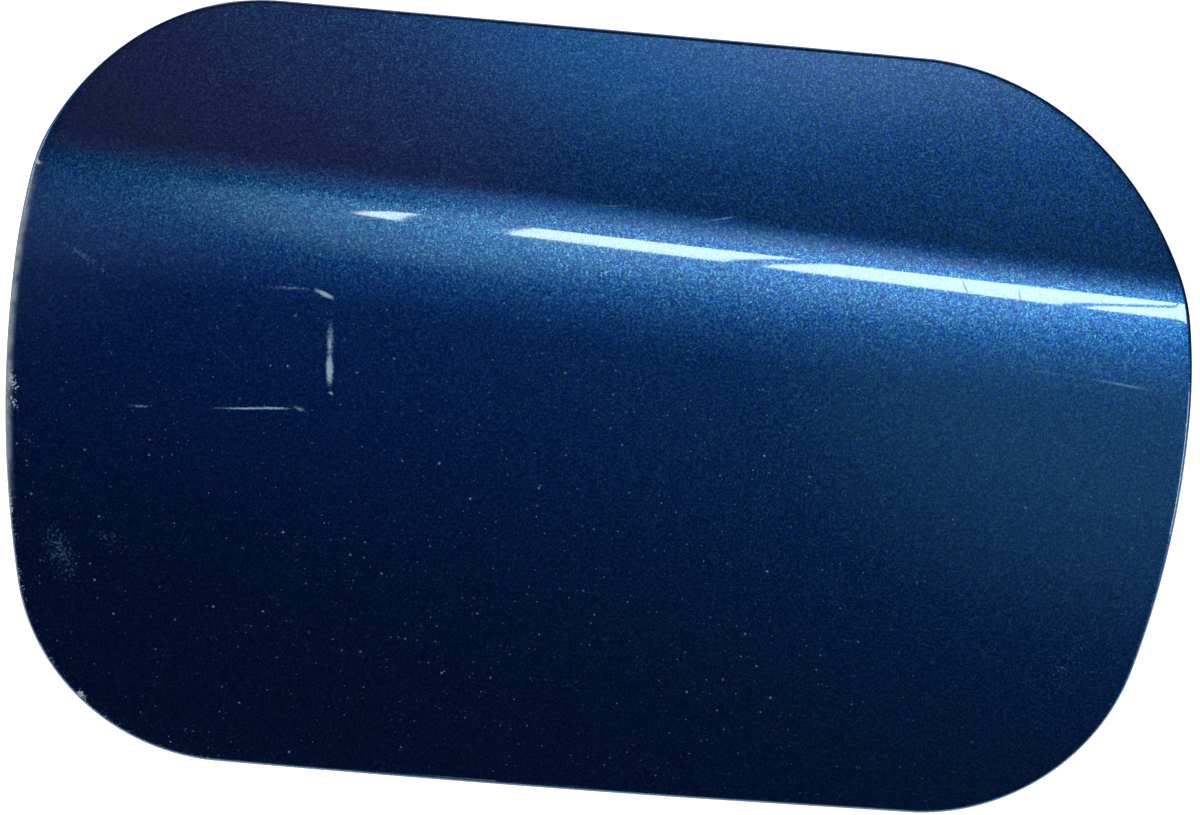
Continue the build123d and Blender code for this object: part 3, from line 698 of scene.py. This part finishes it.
def zinc_finish(look, name, dirt):
    """Zinc plate: mottled crystals, rubbed edges, dirt in the corners."""
    made, tree, shader, place = new_finish(name)
    spangle = node(tree, "ShaderNodeTexVoronoi", feature="F1", Scale=700.0, Vector=place)
    crystal = parts(tree, spangle.outputs["Color"], "Color")[0]
    cloud = noise(tree, place, 180.0, 5.0, 0.6)
    patch = math_node(tree, "ADD", times(tree, crystal, 0.18), times(tree, cloud, 0.82))
    color = blend_color(tree, ramp(tree, patch, 0.25, 0.75), toned(look.zinc_color, 0.55), look.zinc_color)
    worn = use_group(tree, "Worn Edges", Vector=place, Radius=0.0005, Grain=700.0)
    color = blend_color(tree, worn["Rubbed"], color, BRIGHT_ZINC)
    grime = times(tree, worn["Grime"], dirt)
    color = blend_color(tree, grime, color, ZINC_DIRT)
    feed_inputs(
        tree, shader, Base_Color=color, Metallic=math_node(tree, "SUBTRACT", 0.95, grime),
        Roughness=ramp(tree, patch, 0.2, 0.8, 0.30, 0.50),
    )
    bump(tree, shader, noise(tree, place, 1500.0, 3.0), depth=0.00005, strength=0.4)
    return made


def dip_coat_finish(look):
    """Black dip coat: slight orange peel, rubbed to steel on the edges."""
    made, tree, shader, place = new_finish("Black dip coat")
    cloud = noise(tree, place, 90.0, 4.0)
    color = blend_color(tree, ramp(tree, cloud, 0.3, 0.7), look.arm_color, toned(look.arm_color, 1.9))
    worn = use_group(tree, "Worn Edges", Vector=place, Radius=0.0006, Grain=480.0)
    color = blend_color(tree, times(tree, worn["Grime"], 0.6), color, HINGE_DIRT)
    color = blend_color(tree, worn["Rubbed"], color, BARE_STEEL)
    feed_inputs(
        tree, shader, Base_Color=color, Metallic=times(tree, worn["Rubbed"], 0.85),
        Roughness=ramp(tree, cloud, 0.3, 0.7, 0.34, 0.46),
    )
    bump(tree, shader, noise(tree, place, 700.0, 2.0), depth=0.00005, strength=0.5)
    return made


def spring_finish(look):
    """Oiled spring steel: blued patches and brown oil."""
    made, tree, shader, place = new_finish("Oiled spring wire")
    cloud = noise(tree, place, 500.0, 4.0)
    color = blend_color(tree, ramp(tree, cloud, 0.35, 0.65), BLUED_STEEL, look.spring_color)
    oil = ramp(tree, noise(tree, place, 160.0, 3.0), 0.55, 0.7, 0.0, 0.6)
    color = blend_color(tree, oil, color, OLD_OIL)
    feed_inputs(
        tree, shader, Base_Color=color, Metallic=0.9, Roughness=ramp(tree, cloud, 0.3, 0.7, 0.26, 0.44),
    )
    bump(tree, shader, noise(tree, place, 2600.0, 2.0), depth=0.00003, strength=0.4)
    return made


def nylon_finish(look):
    """Natural nylon: a little see-through, yellowed, greasy near the pin."""
    made, tree, shader, place = new_finish("Natural nylon")
    cloud = noise(tree, place, 240.0, 4.0)
    color = blend_color(tree, ramp(tree, cloud, 0.3, 0.7), toned(look.bush_color, 0.82), look.bush_color)
    worn = use_group(tree, "Worn Edges", Vector=place, Radius=0.0005, Grain=600.0)
    color = blend_color(tree, times(tree, worn["Grime"], 0.8), color, GREASE)
    feed_inputs(
        tree, shader, Base_Color=color, Roughness=ramp(tree, cloud, 0.3, 0.7, 0.38, 0.52),
        Subsurface_Weight=0.15, Subsurface_Radius=(0.001, 0.0009, 0.0006),
    )
    bump(tree, shader, noise(tree, place, 1200.0, 2.0), depth=0.00004, strength=0.4)
    return made


def moulding_finish(look):
    """Grained black plastic, greyed where it has been handled."""
    made, tree, shader, place = new_finish("Grained black plastic")
    cloud = noise(tree, place, 70.0, 4.0)
    pale = toned(look.plastic_color, 1.8)
    color = blend_color(tree, ramp(tree, cloud, 0.3, 0.7), look.plastic_color, pale)
    worn = use_group(tree, "Worn Edges", Vector=place, Radius=0.0006, Grain=500.0)
    color = blend_color(tree, times(tree, worn["Rubbed"], 0.7), color, HANDLED_GREY)
    color = blend_color(tree, times(tree, worn["Grime"], 0.5), color, GREY_DIRT)
    feed_inputs(tree, shader, Base_Color=color, Roughness=ramp(tree, cloud, 0.3, 0.7, 0.46, 0.60))
    grain = node(tree, "ShaderNodeTexVoronoi", feature="DISTANCE_TO_EDGE", Scale=1700.0, Vector=place)
    bump(tree, shader, ramp(tree, grain.outputs["Distance"], 0.0, 0.12), depth=0.00007, strength=0.5)
    return made


def rubber_finish(look):
    """Matt rubber with dust pressed into it."""
    made, tree, shader, place = new_finish("Buffer rubber")
    cloud = noise(tree, place, 320.0, 5.0, 0.65)
    color = blend_color(tree, ramp(tree, cloud, 0.45, 0.75, 0.0, 0.6), look.rubber_color, RUBBER_DUST)
    worn = use_group(tree, "Worn Edges", Vector=place, Radius=0.0006, Grain=500.0)
    color = blend_color(tree, times(tree, worn["Grime"], 0.5), color, GREY_DIRT)
    feed_inputs(tree, shader, Base_Color=color, Roughness=ramp(tree, cloud, 0.3, 0.7, 0.72, 0.9))
    bump(tree, shader, noise(tree, place, 1500.0, 3.0), depth=0.00006, strength=0.5)
    return made


class FUELDOOR_OT_effects(bpy.types.Operator):
    """Build the effects that several finishes share"""

    bl_idname = "fueldoor.effects"
    bl_label = "Shared effects"

    def execute(self, context):
        make_flake_group()
        make_speck_group()
        make_worn_group()
        return {"FINISHED"}


def corner_place(side, up, radius):
    """Centre of a corner's arc, and the direction that bounds the corner towards the top or bottom."""
    middle, bow = BOWS[side]
    height = up * (HALF_HEIGHT - radius)
    across = side * math.sqrt((bow - radius) ** 2 - height**2) + middle
    lean = Vector((across - middle, 0, height)).normalized()
    return across, height, Vector((-lean.z, 0, lean.x)) * (side * up)


def edge_inset(x, z):
    """How far a place in plan lies inside the outline."""
    for side, up, radius in CORNERS:
        across, height, over = corner_place(side, up, radius)
        spoke = Vector((x - across, 0, z - height))
        if spoke.x * side > 0 and spoke.dot(over) > 0:
            return radius - spoke.length
    bowed = min(bow - math.hypot(x - middle, z) for middle, bow in BOWS.values())
    return min(bowed, HALF_HEIGHT - abs(z))


def section_depth(up):
    """Depth of the outer face behind the ridge, by height up the section."""
    if up < 0:
        return LOWER_RADIUS - math.sqrt(LOWER_RADIUS**2 - up**2)
    foot_up, foot_in, tilt = 0.0, 0.0, 0.0
    for radius, end in UPPER_ARCS:
        start, stop = math.radians(tilt), math.radians(end)
        centre_up, centre_in = foot_up - radius * math.sin(start), foot_in + radius * math.cos(start)
        foot_up, foot_in = centre_up + radius * math.sin(stop), centre_in - radius * math.cos(stop)
        if up <= foot_up or (radius, end) == UPPER_ARCS[-1]:
            return centre_in - math.copysign(math.sqrt(radius**2 - (up - centre_up) ** 2), radius)
        tilt = end


def skin_depth(x, z):
    """Depth of the outer face at a place in plan, from the door's centre."""
    up = (z - CREASE_HEIGHT) * math.cos(CREASE_FALL) + x * math.sin(CREASE_FALL)
    along = x * math.cos(CREASE_FALL) - (z - CREASE_HEIGHT) * math.sin(CREASE_FALL)
    return PLAN_RADIUS - math.sqrt((PLAN_RADIUS - section_depth(up)) ** 2 - along**2)


def slope_of(measure, x, z):
    """How a measure of the plan changes along the car and up."""
    across = measure(x + SLOPE_STEP, z) - measure(x - SLOPE_STEP, z)
    upward = measure(x, z + SLOPE_STEP) - measure(x, z - SLOPE_STEP)
    return Vector((across / (2 * SLOPE_STEP), 0, upward / (2 * SLOPE_STEP)))


def inward(x, z):
    """Direction in plan straight in from the nearest edge."""
    return slope_of(edge_inset, x, z).normalized()


def skin_place(x, z, depth):
    """A place in the frame, from plan and depth."""
    return Vector((DOOR_CENTRE.x + x, skin_low.y + depth, DOOR_CENTRE.z + z))


def put_in_order(items, order):
    """Number a mesh's points, edges or faces in an order."""
    ranks = {item: rank for rank, item in enumerate(sorted(items, key=order))}
    items.sort(key=ranks.get)
    items.index_update()


class FUELDOOR_OT_outer_skin(bpy.types.Operator):
    """Press the outer skin finely enough for gloss, fold its hem and paint it"""

    bl_idname = "fueldoor.outer_skin"
    bl_label = "Outer skin"

    def execute(self, context):
        hem = context.scene.door_hem
        skin = self.press_face(context, hem)
        mesh = skin.data
        self.fold_hem(mesh, hem)
        inset = mesh.attributes.new("edge_inset", "FLOAT", "POINT")
        for point, kept in zip(mesh.vertices, inset.data):
            kept.value = edge_inset(point.co.x - DOOR_CENTRE.x, point.co.z - DOOR_CENTRE.z)
        wall = skin.modifiers.new("gauge", "SOLIDIFY")
        wall.thickness = hem.gauge
        wall.offset = -1.0
        wall.use_even_offset = True
        bpy.ops.object.modifier_apply(modifier=wall.name)
        bpy.ops.object.shade_smooth_by_angle(angle=math.radians(40))
        mesh.materials.clear()
        mesh.materials.append(body_paint_finish(context.scene.body_paint, context.scene.door_wear))
        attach(skin, "door")
        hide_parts("outer_skin")
        return {"FINISHED"}

    def press_face(self, context, hem):
        """A grid pressed to the face, up to where its edge starts to roll."""
        rows = self.row_lines(hem)
        last = len(rows) - 1
        bpy.ops.object.select_all(action="DESELECT")
        bpy.ops.mesh.primitive_grid_add(x_subdivisions=COLUMNS, y_subdivisions=last, size=1.0)
        skin = context.object
        skin.name = "painted_skin"
        low = min(point.co.y for point in skin.data.vertices)
        for point in skin.data.vertices:
            height, slope, left, right = rows[round((point.co.y - low) * last)]
            x = left + (right - left) * (point.co.x + 0.5)
            z = height + slope * x
            point.co = skin_place(x, z, skin_depth(x, z))
        return skin

    def fold_hem(self, mesh, hem):
        """Extrude the border round the edge and in behind it, and turn all faces outwards."""
        bpy.ops.object.mode_set(mode="EDIT")
        bpy.ops.mesh.select_mode(type="EDGE")
        bpy.ops.mesh.select_all(action="SELECT")
        bpy.ops.mesh.region_to_loop()
        bpy.ops.object.mode_set(mode="OBJECT")
        border = {point.index: self.rim_profile(point.co, hem) for point in mesh.vertices if point.select}
        for step in range(len(next(iter(border.values())))):
            bpy.ops.object.mode_set(mode="EDIT")
            bpy.ops.mesh.extrude_region_move()
            bpy.ops.object.mode_set(mode="OBJECT")
            known = {self.key(mesh.vertices[index]): profile for index, profile in border.items()}
            border = {}
            for point in mesh.vertices:
                if point.select:
                    border[point.index] = known[self.key(point)]
                    point.co = border[point.index][step]
        self.number_by_place(mesh)
        bpy.ops.object.mode_set(mode="EDIT")
        bpy.ops.mesh.select_all(action="SELECT")
        bpy.ops.mesh.normals_make_consistent(inside=False)
        bpy.ops.object.mode_set(mode="OBJECT")
        if min(mesh.polygons, key=lambda face: face.center.y).normal.y > 0:
            mesh.flip_normals()

    def key(self, point):
        """A point's place, rounded, so that an extruded point finds the one it came from."""
        return tuple(round(part, SAME_PLACE_DIGITS) for part in point.co)

    def number_by_place(self, mesh):
        """Number points, edges and faces by their place, because extruding numbers them anew each run."""
        form = bmesh.new()
        form.from_mesh(mesh)
        put_in_order(form.verts, self.key)
        for items in (form.edges, form.faces):
            put_in_order(items, lambda item: sorted(point.index for point in item.verts))
        form.to_mesh(mesh)
        form.free()

    def roll_start(self, x, z, hem):
        """Inset at which the face turns into the rolled edge, for the edge nearest to this place."""
        fall = slope_of(skin_depth, x, z).dot(inward(x, z))
        return hem.edge_radius * (1 + fall / math.sqrt(1 + fall**2))

    def row_lines(self, hem):
        """Rows across the door, along the crease near it and along the edges at top and bottom."""
        crest = CREASE_HEIGHT + CREST_UP
        foot = CREASE_HEIGHT - FOOT_DOWN
        top = HALF_HEIGHT - self.roll_start(0.0, HALF_HEIGHT - 0.001, hem)
        bottom = self.roll_start(0.0, 0.001 - HALF_HEIGHT, hem) - HALF_HEIGHT
        heights = []
        for step in range(LOWER_ROWS):
            ease = 1 + LOWER_EASE - LOWER_EASE * step / LOWER_ROWS
            heights.append(bottom + (foot - bottom) * (step / LOWER_ROWS) ** 2 * ease)
        heights += [foot + (crest - TURN_BAND - foot) * step / RIDGE_ROWS for step in range(RIDGE_ROWS)]
        heights += [crest - TURN_BAND + TURN_BAND * step / TURN_ROWS for step in range(TURN_ROWS)]
        heights += [top - (top - crest) * (step / TOP_ROWS) ** 2 for step in range(TOP_ROWS, -1, -1)]
        rows = []
        for height in heights:
            share = 1.0
            if height > crest:
                share = (top - height) / (top - crest)
            elif height < foot:
                share = (height - bottom) / (foot - bottom)
            slope = -math.tan(CREASE_FALL) * share
            left, right = (self.row_end(height, slope, side, hem) for side in (-1, 1))
            rows.append((height, slope, left, right))
        return rows

    def row_end(self, height, slope, side, hem):
        """Where a row meets the start of the rolled edge."""
        inside, outside = side * WELL_INSIDE, side * HALF_LENGTH
        for _ in range(HALVINGS):
            x = (inside + outside) / 2
            z = height + slope * x
            if edge_inset(x, z) > self.roll_start(x, z, hem) - NEAR_ENOUGH:
                inside = x
            else:
                outside = x
        return inside

    def rim_profile(self, point, hem):
        """Places from the face round the edge and along the hem behind it."""
        x, z = point.x - DOOR_CENTRE.x, point.z - DOOR_CENTRE.z
        inner = inward(x, z)
        edge_x, edge_z = x - inner.x * edge_inset(x, z), z - inner.z * edge_inset(x, z)
        fall = slope_of(skin_depth, x, z).dot(inner)
        lean = math.sqrt(1 + fall**2)
        face = skin_depth(x, z) - fall * edge_inset(x, z)
        radius = hem.edge_radius
        near = face + fall * radius + radius * lean
        far = face + fall * radius + (hem.depth - radius) * lean
        places = []
        for depth, start, stop, first in (
            (near, math.atan2(-1, fall), -math.pi, 1), (far, math.pi, math.atan2(1, -fall), 0),
        ):
            for step in range(first, ROLL_STEPS + 1):
                turn = start + (stop - start) * step / ROLL_STEPS
                places.append((radius + radius * math.cos(turn), depth + radius * math.sin(turn)))
        for inset in (*HEM_INSETS, hem.width):
            at_x, at_z = edge_x + inner.x * inset, edge_z + inner.z * inset
            slope = slope_of(skin_depth, at_x, at_z).length
            places.append((inset, skin_depth(at_x, at_z) + hem.depth * math.sqrt(1 + slope**2)))
        return [
            skin_place(edge_x + inner.x * inset, edge_z + inner.z * inset, depth)
            for inset, depth in places
        ]


class FUELDOOR_OT_inner_side(bpy.types.Operator):
    """Paint the inner panel, the plates inside the leaf and the sealer"""

    bl_idname = "fueldoor.inner_side"
    bl_label = "Inner side"

    def execute(self, context):
        look = context.scene.hinge_finish
        put_on(["inner_panel", "hinge_doubler", "latch_doubler"], inner_paint_finish(look))
        put_on(["hem_sealer"], sealer_finish(look))
        return {"FINISHED"}


class FUELDOOR_OT_hinge(bpy.types.Operator):
    """Finish the arm, bracket, pin, clip, sleeve and bushes"""

    bl_idname = "fueldoor.hinge"
    bl_label = "Hinge"

    def execute(self, context):
        look = context.scene.hinge_finish
        put_on(["hinge_arm", "hinge_bracket"], dip_coat_finish(look))
        put_on(["hinge_pin"], zinc_finish(look, "Zinc plated pin", dirt=0.75))
        put_on(["pin_clip"], spring_finish(look))
        put_on(["spring_sleeve", "upper_bush", "lower_bush"], nylon_finish(look))
        return {"FINISHED"}


class FUELDOOR_OT_fixings(bpy.types.Operator):
    """Finish the striker, nuts, screws and rivets"""

    bl_idname = "fueldoor.fixings"
    bl_label = "Striker and fixings"

    def execute(self, context):
        look = context.scene.hinge_finish
        fixings = ["latch_striker", "striker_rivets", "arm_screws", "cap_holder_screws", "weld_nuts"]
        put_on(fixings, zinc_finish(look, "Zinc plated fixings", dirt=0.6))
        return {"FINISHED"}


class FUELDOOR_OT_mouldings(bpy.types.Operator):
    """Finish the cap holder and the rubber buffers"""

    bl_idname = "fueldoor.mouldings"
    bl_label = "Cap holder and buffers"

    def execute(self, context):
        look = context.scene.hinge_finish
        put_on(["cap_holder"], moulding_finish(look))
        put_on(["upper_bump_stop", "lower_bump_stop"], rubber_finish(look))
        return {"FINISHED"}


class FUELDOOR_OT_spring(bpy.types.Operator):
    """Wind the torsion spring"""

    bl_idname = "fueldoor.spring"
    bl_label = "Torsion spring"

    def execute(self, context):
        size = context.scene.door_spring
        half = size.turns * size.pitch / 2
        bpy.ops.object.select_all(action="DESELECT")
        wire = bpy.data.curves.new("torsion_spring", "CURVE")
        wire.dimensions = "3D"
        path = self.path(size, half)
        line = wire.splines.new("POLY")
        line.points.add(len(path) - 1)
        for place, point in zip(path, line.points):
            point.co = (*place, 1)
        wire.bevel_depth = size.wire / 2
        wire.bevel_resolution = 3
        wire.use_fill_caps = True
        spring = bpy.data.objects.new("torsion_spring", wire)
        context.scene.collection.objects.link(spring)
        spring.select_set(True)
        context.view_layer.objects.active = spring
        bpy.ops.object.convert(target="MESH")
        spring = context.view_layer.objects.active
        bpy.ops.object.shade_smooth_by_angle(angle=math.radians(50))
        spring.data.materials.clear()
        spring.data.materials.append(spring_finish(context.scene.hinge_finish))
        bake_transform(spring)
        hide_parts("door_spring")
        return {"FINISHED"}

    def path(self, size, half):
        """The middle of the wire, from the foot in the bracket round the coil to the leg on the arm."""
        steps = int(size.turns * COIL_STEPS)
        coil = []
        for step in range(steps + 1):
            turn = -2 * math.pi * size.turns * step / steps
            rise = size.pitch * size.turns * step / steps - half
            coil.append(hinge + Vector((size.radius * math.cos(turn), size.radius * math.sin(turn), rise)))
        leg = [hinge + Vector((size.radius, reach, -half)) for reach in LEG_REACHES]
        foot = Vector((hinge.x - FOOT_ACROSS, FOOT_DEPTH, hinge.z - half - FOOT_DROP))
        knee = hinge + Vector((size.radius, KNEE_REACH, -half - FOOT_DROP))
        bend = [knee.lerp(foot, 0.22), knee.lerp(foot, 0.04), knee.lerp(leg[0], 0.45)]
        tip = coil[-1] + Vector((-size.arm_leg, 0, 0))
        arm_leg = [coil[-1].lerp(tip, share) for share in (0.25, 0.5, 0.75, 1.0)]
        return [foot, foot.lerp(knee, 0.5)] + bend + leg + coil + arm_leg


def toward(azimuth, elevation):
    """A direction from the door, by its angles from straight in front to the hinge side, and up."""
    level = math.cos(elevation)
    return Vector((math.sin(azimuth) * level, -math.cos(azimuth) * level, math.sin(elevation)))


class FUELDOOR_OT_stage(bpy.types.Operator):
    """Lay the floor, hang the lamps and set the camera"""

    bl_idname = "fueldoor.stage"
    bl_label = "Stage"

    def execute(self, context):
        stage = context.scene.door_stage
        self.lay_floor(context, stage)
        self.hang_panes(context, stage)
        self.hang_lamps(context)
        self.light_room(context)
        self.aim_camera(context, stage)
        return {"FINISHED"}

    def lay_floor(self, context, stage):
        """A pale floor with a wall that rises behind."""
        bpy.ops.object.select_all(action="DESELECT")
        bpy.ops.mesh.primitive_grid_add(x_subdivisions=2, y_subdivisions=2, size=1.0)
        floor = context.object
        floor.name = "floor"
        (width, depth), (across, back) = FLOOR_SIZE, FLOOR_MIDDLE
        for corner in floor.data.vertices:
            corner.co = (corner.co.x * width + across, corner.co.y * depth + back, FLOOR_LEVEL)
        bpy.ops.object.mode_set(mode="EDIT")
        bpy.ops.mesh.select_mode(type="VERT")
        bpy.ops.mesh.select_all(action="DESELECT")
        bpy.ops.object.mode_set(mode="OBJECT")
        for corner in floor.data.vertices:
            corner.select = corner.co.y > back + depth / 4
        bpy.ops.object.mode_set(mode="EDIT")
        bpy.ops.mesh.select_mode(type="EDGE")
        bpy.ops.mesh.extrude_region_move(TRANSFORM_OT_translate={"value": (0, 0, WALL_HEIGHT)})
        bpy.ops.object.mode_set(mode="OBJECT")
        made, tree, shader, place = new_finish("Pale floor")
        cloud = ramp(tree, noise(tree, place, 3.0, 2.0), 0.3, 0.7, 0.97, 1.0)
        tint = blend_color(tree, cloud, toned(stage.floor_color, 0.96), stage.floor_color)
        path = tree.nodes.new("ShaderNodeLightPath").outputs
        seen = most(tree, path["Is Camera Ray"], path["Is Glossy Ray"], path["Is Transmission Ray"])
        feed_inputs(
            tree, shader, Base_Color=tint, Roughness=0.9, Specular_IOR_Level=0.1,
            Emission_Color=WHITE, Emission_Strength=times(tree, seen, BACKDROP_GLOW),
        )
        floor.data.materials.append(made)

    def hang_panes(self, context, stage):
        """Window panes in front, which the gloss mirrors."""
        glass, tree, shader, _ = new_finish("Window light")
        feed_inputs(
            tree, shader, Base_Color=BLACK,
            Emission_Color=PANE_LIGHT, Emission_Strength=stage.window_brightness,
        )
        for name, corners in PANES:
            bpy.ops.object.select_all(action="DESELECT")
            bpy.ops.mesh.primitive_plane_add(size=1.0)
            pane = context.object
            pane.name = name
            order = [pane.data.loops[slot].vertex_index for slot in pane.data.polygons[0].loop_indices]
            for slot, corner in zip(order, corners):
                pane.data.vertices[slot].co = LIT_POINT + toward(*map(math.radians, corner)) * PANE_DISTANCE
            pane.data.materials.append(glass)

    def hang_lamps(self, context):
        """Soft lamps beside, above and behind."""
        for name, azimuth, elevation, width, height, brightness in LAMPS:
            out = toward(math.radians(azimuth), math.radians(elevation))
            lamp = bpy.data.lights.new(name, "AREA")
            lamp.shape = "RECTANGLE"
            lamp.size = width
            lamp.size_y = height
            lamp.energy = brightness * math.pi * width * height
            holder = bpy.data.objects.new(name, lamp)
            context.scene.collection.objects.link(holder)
            holder.location = LIT_POINT + out * LAMP_DISTANCE
            holder.rotation_euler = out.to_track_quat("Z", "Y").to_euler()

    def light_room(self, context):
        """A dim room with soft light in front, white where the camera sees it."""
        world = bpy.data.worlds.new("Dim room")
        world.use_nodes = True
        tree = world.node_tree
        direction = tree.nodes.new("ShaderNodeTexCoord").outputs["Generated"]
        behind = ramp(tree, parts(tree, direction)["Y"], 0.0, 0.7)
        light = blend_color(tree, behind, ROOM_IN_FRONT, ROOM_BEHIND)
        for *angles, color in GLOWS:
            azimuth, elevation, edge, core = map(math.radians, angles)
            facing = vector_node(tree, "DOT_PRODUCT", direction, toward(azimuth, elevation))
            glow = ramp(tree, facing, math.cos(edge), math.cos(core))
            light = blend_color(tree, glow, light, color, "ADD")
        seen = tree.nodes.new("ShaderNodeLightPath").outputs["Is Camera Ray"]
        feed_inputs(tree, tree.nodes["Background"], Color=blend_color(tree, seen, light, WHITE))
        context.scene.world = world

    def aim_camera(self, context, stage):
        """The camera at its measured place."""
        turn, roll = stage.azimuth, stage.roll
        back = toward(turn, stage.elevation)
        level = Vector((math.cos(turn), math.sin(turn), 0))
        upright = back.cross(level)
        right = level * math.cos(roll) + upright * math.sin(roll)
        up = upright * math.cos(roll) - level * math.sin(roll)
        lens = bpy.data.cameras.new("camera")
        lens.lens = stage.lens
        lens.sensor_width = SENSOR_WIDTH
        lens.clip_start = 0.01
        camera = bpy.data.objects.new("camera", lens)
        context.scene.collection.objects.link(camera)
        turned = Matrix((right, up, back)).transposed().to_4x4()
        camera.matrix_world = Matrix.Translation(Vector(stage.target) + back * stage.distance) @ turned
        context.scene.camera = camera


STEPS = (
    FUELDOOR_OT_effects, FUELDOOR_OT_outer_skin, FUELDOOR_OT_inner_side, FUELDOOR_OT_hinge,
    FUELDOOR_OT_spring, FUELDOOR_OT_fixings, FUELDOOR_OT_mouldings, FUELDOOR_OT_stage,
)
GROUPS = {
    "body_paint": BodyPaint, "door_wear": Wear, "door_hem": Hem,
    "hinge_finish": HingeFinish, "door_spring": Spring, "door_stage": Stage,
}


class FUELDOOR_PT_panel(bpy.types.Panel):
    """The fuel door's steps and settings"""

    bl_idname = "FUELDOOR_PT_panel"
    bl_label = "Fuel door"
    bl_space_type = "VIEW_3D"
    bl_region_type = "UI"
    bl_category = "Fuel Door"

    def draw(self, context):
        for step in STEPS:
            self.layout.operator(step.bl_idname)
        for group, kind in GROUPS.items():
            box = self.layout.box()
            box.label(text=kind.__doc__)
            for name in kind.__annotations__:
                box.prop(getattr(context.scene, group), name)


def register():
    for group, kind in GROUPS.items():
        bpy.utils.register_class(kind)
        setattr(bpy.types.Scene, group, bpy.props.PointerProperty(type=kind))
    for kind in STEPS + (FUELDOOR_PT_panel,):
        bpy.utils.register_class(kind)


def unregister():
    for kind in (FUELDOOR_PT_panel,) + STEPS:
        bpy.utils.unregister_class(kind)
    for group, kind in GROUPS.items():
        delattr(bpy.types.Scene, group)
        bpy.utils.unregister_class(kind)


def main():
    register()
    bpy.context.scene.view_settings.view_transform = "Standard"
    bpy.ops.fueldoor.effects()
    bpy.ops.fueldoor.outer_skin()
    bpy.ops.fueldoor.inner_side()
    bpy.ops.fueldoor.hinge()
    bpy.ops.fueldoor.spring()
    bpy.ops.fueldoor.fixings()
    bpy.ops.fueldoor.mouldings()
    bpy.ops.fueldoor.stage()


if __name__ == "__main__":
    main()
